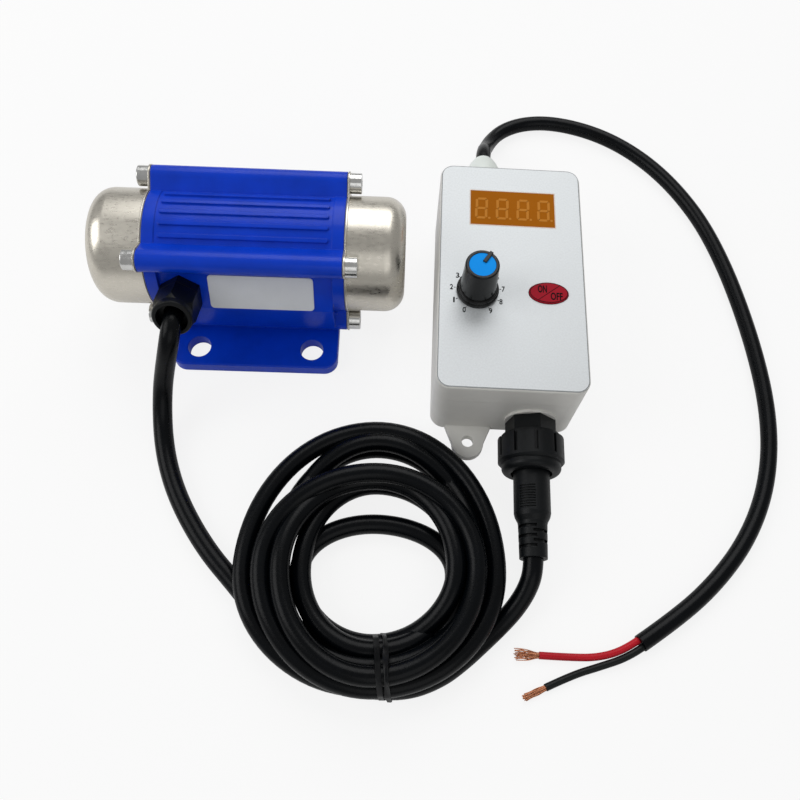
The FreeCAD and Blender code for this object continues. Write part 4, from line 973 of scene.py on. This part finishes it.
# ---------------------------------------------------------------- the printed front
@dataclass
class PrintedFront:
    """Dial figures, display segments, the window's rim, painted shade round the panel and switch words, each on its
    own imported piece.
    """

    turn: float = math.radians(-0.97)
    ink: float = 0.00003
    figure: tuple[float, float] = (0.0011, 0.0021)
    figure_ring: float = 0.0089
    tick_ring: float = 0.00785
    first_figure: float = math.radians(240)
    figure_step: float = math.radians(100 / 3)
    digit: tuple[float, float] = (0.0035, 0.0041)
    digit_pitch: float = 0.0074
    digit_drop: float = 0.0003
    digit_lean: float = 0.06
    segment: float = 0.001
    segment_gap: float = 0.2
    tick: tuple[float, float] = (0.0007, 0.00024)
    narrow_one: float = 0.5
    rim: tuple[float, float] = (0.0307, 0.0154)
    rim_width: float = 0.00035
    panel: tuple[float, float] = (0.0495, 0.0889)
    panel_corner: float = 0.0042
    # Width of the painted shade line round the panel.
    panel_line_width: float = 0.00016
    word_on: tuple[float, float] = (0.0031, 0.0030)
    word_on_at: tuple[float, float] = (-0.0022, 0.0013)
    word_off: tuple[float, float] = (0.0041, 0.0030)
    word_off_at: tuple[float, float] = (0.0026, -0.0014)
    slash: tuple[float, float] = (0.0098, 0.0002)
    slash_at: tuple[float, float] = (0.0, -0.0001)
    slash_turn: float = math.radians(38.5)
    button: tuple[float, float] = (0.0065, 0.0039)
    button_line: float = 0.00022

    def spot(self, node: str) -> Vector:
        """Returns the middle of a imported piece's top."""
        low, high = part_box(node)
        return Vector(((low[0] + high[0]) / 2, (low[1] + high[1]) / 2, high[2]))

    def place(self, centre: Vector, x: float = 0.0, y: float = 0.0, turn: float = 0.0) -> Matrix:
        """Returns a place on the box's front, x across and y along it from a piece's centre."""
        base = Matrix.Translation(centre) @ Matrix.Rotation(self.turn, 4, "Z")
        return base @ Matrix.Translation((x, y, 0.0)) @ Matrix.Rotation(turn, 4, "Z")

    def printed(self, shape: bmesh.types.BMesh, name: str, look: Finish, body: str) -> None:
        """Finishes one print, which moves with a body and takes a slot."""
        finish_mesh(shape, name, look, body, smooth=False)

    def dial(self) -> None:
        """Prints the ten figures and their ticks round the speed knob."""
        centre = self.spot("speed_knob")
        centre.z = self.spot("front_panel").z
        figures = bmesh.new()
        for i in range(10):
            angle = self.first_figure - i * self.figure_step
            way = Vector((math.cos(angle), math.sin(angle)))
            at = way * self.figure_ring
            wide, high = self.figure
            figure = lettering(str(i), wide * (self.narrow_one if i == 1 else 1.0), high, self.ink)
            join(figures, figure, self.place(centre, at.x, at.y))
            at = way * self.tick_ring
            join(figures, stroke(*self.tick, self.ink), self.place(centre, at.x, at.y, angle))
        self.printed(figures, "dial_figures", INK, "base")

    def display(self) -> None:
        """Makes the four unlit figures behind the window, and the window's pale rim."""
        centre = self.spot("display_window")
        digits = bmesh.new()
        half_w, half_h = self.digit[0] / 2, self.digit[1]
        bars = [(0.0, half_h, 0.0), (0.0, 0.0, 0.0), (0.0, -half_h, 0.0)]
        bars += [(x, y, math.pi / 2) for x in (-half_w, half_w) for y in (-half_h / 2, half_h / 2)]
        for i in range(4):
            middle = (i - 1.5) * self.digit_pitch
            for x, y, turn in bars:
                long = self.digit[0] if turn == 0.0 else self.digit[1]
                at = self.place(centre, middle + x + self.digit_lean * y, y - self.digit_drop, turn)
                join(digits, stroke(long - self.segment * self.segment_gap, self.segment, self.ink), at)
            dot = bmesh.new()
            bmesh.ops.create_circle(dot, cap_ends=True, segments=12, radius=self.segment / 2)
            at = self.place(centre, middle + half_w + self.segment, -half_h - self.digit_drop)
            join(digits, raised(dot, self.ink), at)
        self.printed(digits, "display_figures", SEGMENT_PALE, "base")
        rim = bmesh.new()
        bmesh.ops.create_grid(rim, x_segments=1, y_segments=1, size=0.5)
        bmesh.ops.scale(rim, vec=(*self.rim, 1.0), verts=rim.verts)
        whole = bmesh.new()
        join(whole, band(rim, self.rim_width, self.ink), self.place(centre))
        self.printed(whole, "window_rim", WINDOW_RIM, "base")

    def panel_line(self) -> None:
        """Paints a thin dark line of painted shade round the panel's edge."""
        line = bmesh.new()
        bmesh.ops.create_grid(line, x_segments=1, y_segments=1, size=0.5)
        bmesh.ops.scale(line, vec=(*self.panel, 1.0), verts=line.verts)
        bmesh.ops.bevel(
            line, geom=line.verts[:], offset=self.panel_corner, segments=8, profile=0.5, affect="VERTICES", material=-1
        )
        whole = bmesh.new()
        join(whole, band(line, self.panel_line_width, self.ink / 2), self.place(self.spot("front_panel")))
        self.printed(whole, "panel_line", PANEL_EDGE_SHADE, "base")

    def switch(self) -> None:
        """Prints the words, the slash and the outline on the power button."""
        centre = self.spot("power_button")
        words = bmesh.new()
        join(words, lettering("ON", *self.word_on, self.ink), self.place(centre, *self.word_on_at))
        join(words, lettering("OFF", *self.word_off, self.ink), self.place(centre, *self.word_off_at))
        join(words, stroke(*self.slash, self.ink), self.place(centre, *self.slash_at, self.slash_turn))
        line = bmesh.new()
        bmesh.ops.create_circle(line, cap_ends=True, segments=72, radius=1.0)
        bmesh.ops.scale(line, vec=(*self.button, 1.0), verts=line.verts)
        join(words, band(line, self.button_line, self.ink), self.place(centre))
        self.printed(words, "switch_words", INK, "button")

    def build(self) -> None:
        """Prints everything, and paints the line of shade round the panel."""
        self.dial()
        self.display()
        self.panel_line()
        self.switch()


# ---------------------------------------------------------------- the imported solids
class Group(Enum):
    """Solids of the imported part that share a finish."""

    CASTING = (CAST_BLUE, ("motor_frame",))
    COVERS = (DRAWN_STEEL, ("end_cover_left", "end_cover_right"))
    SCREWS = (BRIGHT_STEEL, ("cover_screws", "box_screws", "fixed_weight_screws", "adjust_screw_left",
                             "adjust_screw_right", "bearing_balls", "plug_pins"))
    STEEL = (MACHINED_STEEL, ("end_shield_left", "end_shield_right", "shield_retaining_rings",
                              "bearing_outer_races", "bearing_inner_races", "motor_shaft", "fixed_weight_left",
                              "fixed_weight_right", "adjustable_weight_left", "adjustable_weight_right",
                              "shaft_circlips", "stator_core", "rotor_core", "pot_body", "pot_nut", "pot_shaft"))
    WINDINGS = (COPPER, ("stator_windings", "copper_strands"))
    MAGNETS = (MAGNET, ("rotor_magnets",))
    GASKETS = (GASKET_RUBBER, ("gasket_left", "gasket_right"))
    PLATE = (BARE_PLATE, ("nameplate",))
    NYLON = (BLACK_NYLON, ("gland_body", "gland_nut", "gland_seal", "socket_body", "socket_nut", "coupling_ring",
                           "plug_body", "display_module", "driver_components", "switch_body"))
    KNOB = (BLACK_GLOSS, ("speed_knob",))
    CASE = (CASE_PLASTIC, ("box_base", "box_lid", "socket_seal"))
    GLAND = (WHITE_NYLON, ("supply_gland_body", "supply_gland_nut"))
    PANEL = (SILVER_FILM, ("front_panel",))
    WINDOW = (WINDOW_AMBER, ("display_window",))
    BOARD = (BOARD_GREEN, ("circuit_board",))
    CAP = (CAP_BLUE, ("knob_cap",))
    BUTTON = (BUTTON_RED, ("power_button",))
    CORDS = (CORD_JACKET, ("motor_cord_lead", "motor_cord_coil", "motor_cord_tail", "supply_cord"))
    CORES = (CORE_RED, ("core_red",))
    BLACK_CORES = (CORE_BLACK, ("core_black",))
    TIES = (TIE_BLACK, ("coil_tie",))

    @property
    def look(self) -> Finish:
        """The group's finish."""
        return self.value[0]

    @property
    def members(self) -> tuple[str, ...]:
        """The group's solids."""
        return self.value[1]


def dress_solids(nodes: dict[str, bpy.types.Object]) -> None:
    """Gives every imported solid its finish.

    Args:
        nodes: The solids by name.
    """
    for group in Group:
        for name in group.members:
            dress(nodes[name], group.look)
            LOG.info("%s is dressed in %s", name, group.look.name)


def main() -> None:
    """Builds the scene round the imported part."""
    logging.basicConfig(level=logging.INFO)
    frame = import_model()
    Studio().build()
    motor_cord = MotorCord().build()
    ties = CoilTie().build()
    jacket, red, black = SupplyCord().build()
    strands = BareEnds().build()
    PrintedFront().build()
    nodes = frame["nodes"]
    dress_solids(nodes)


if __name__ == "__main__":
    main()
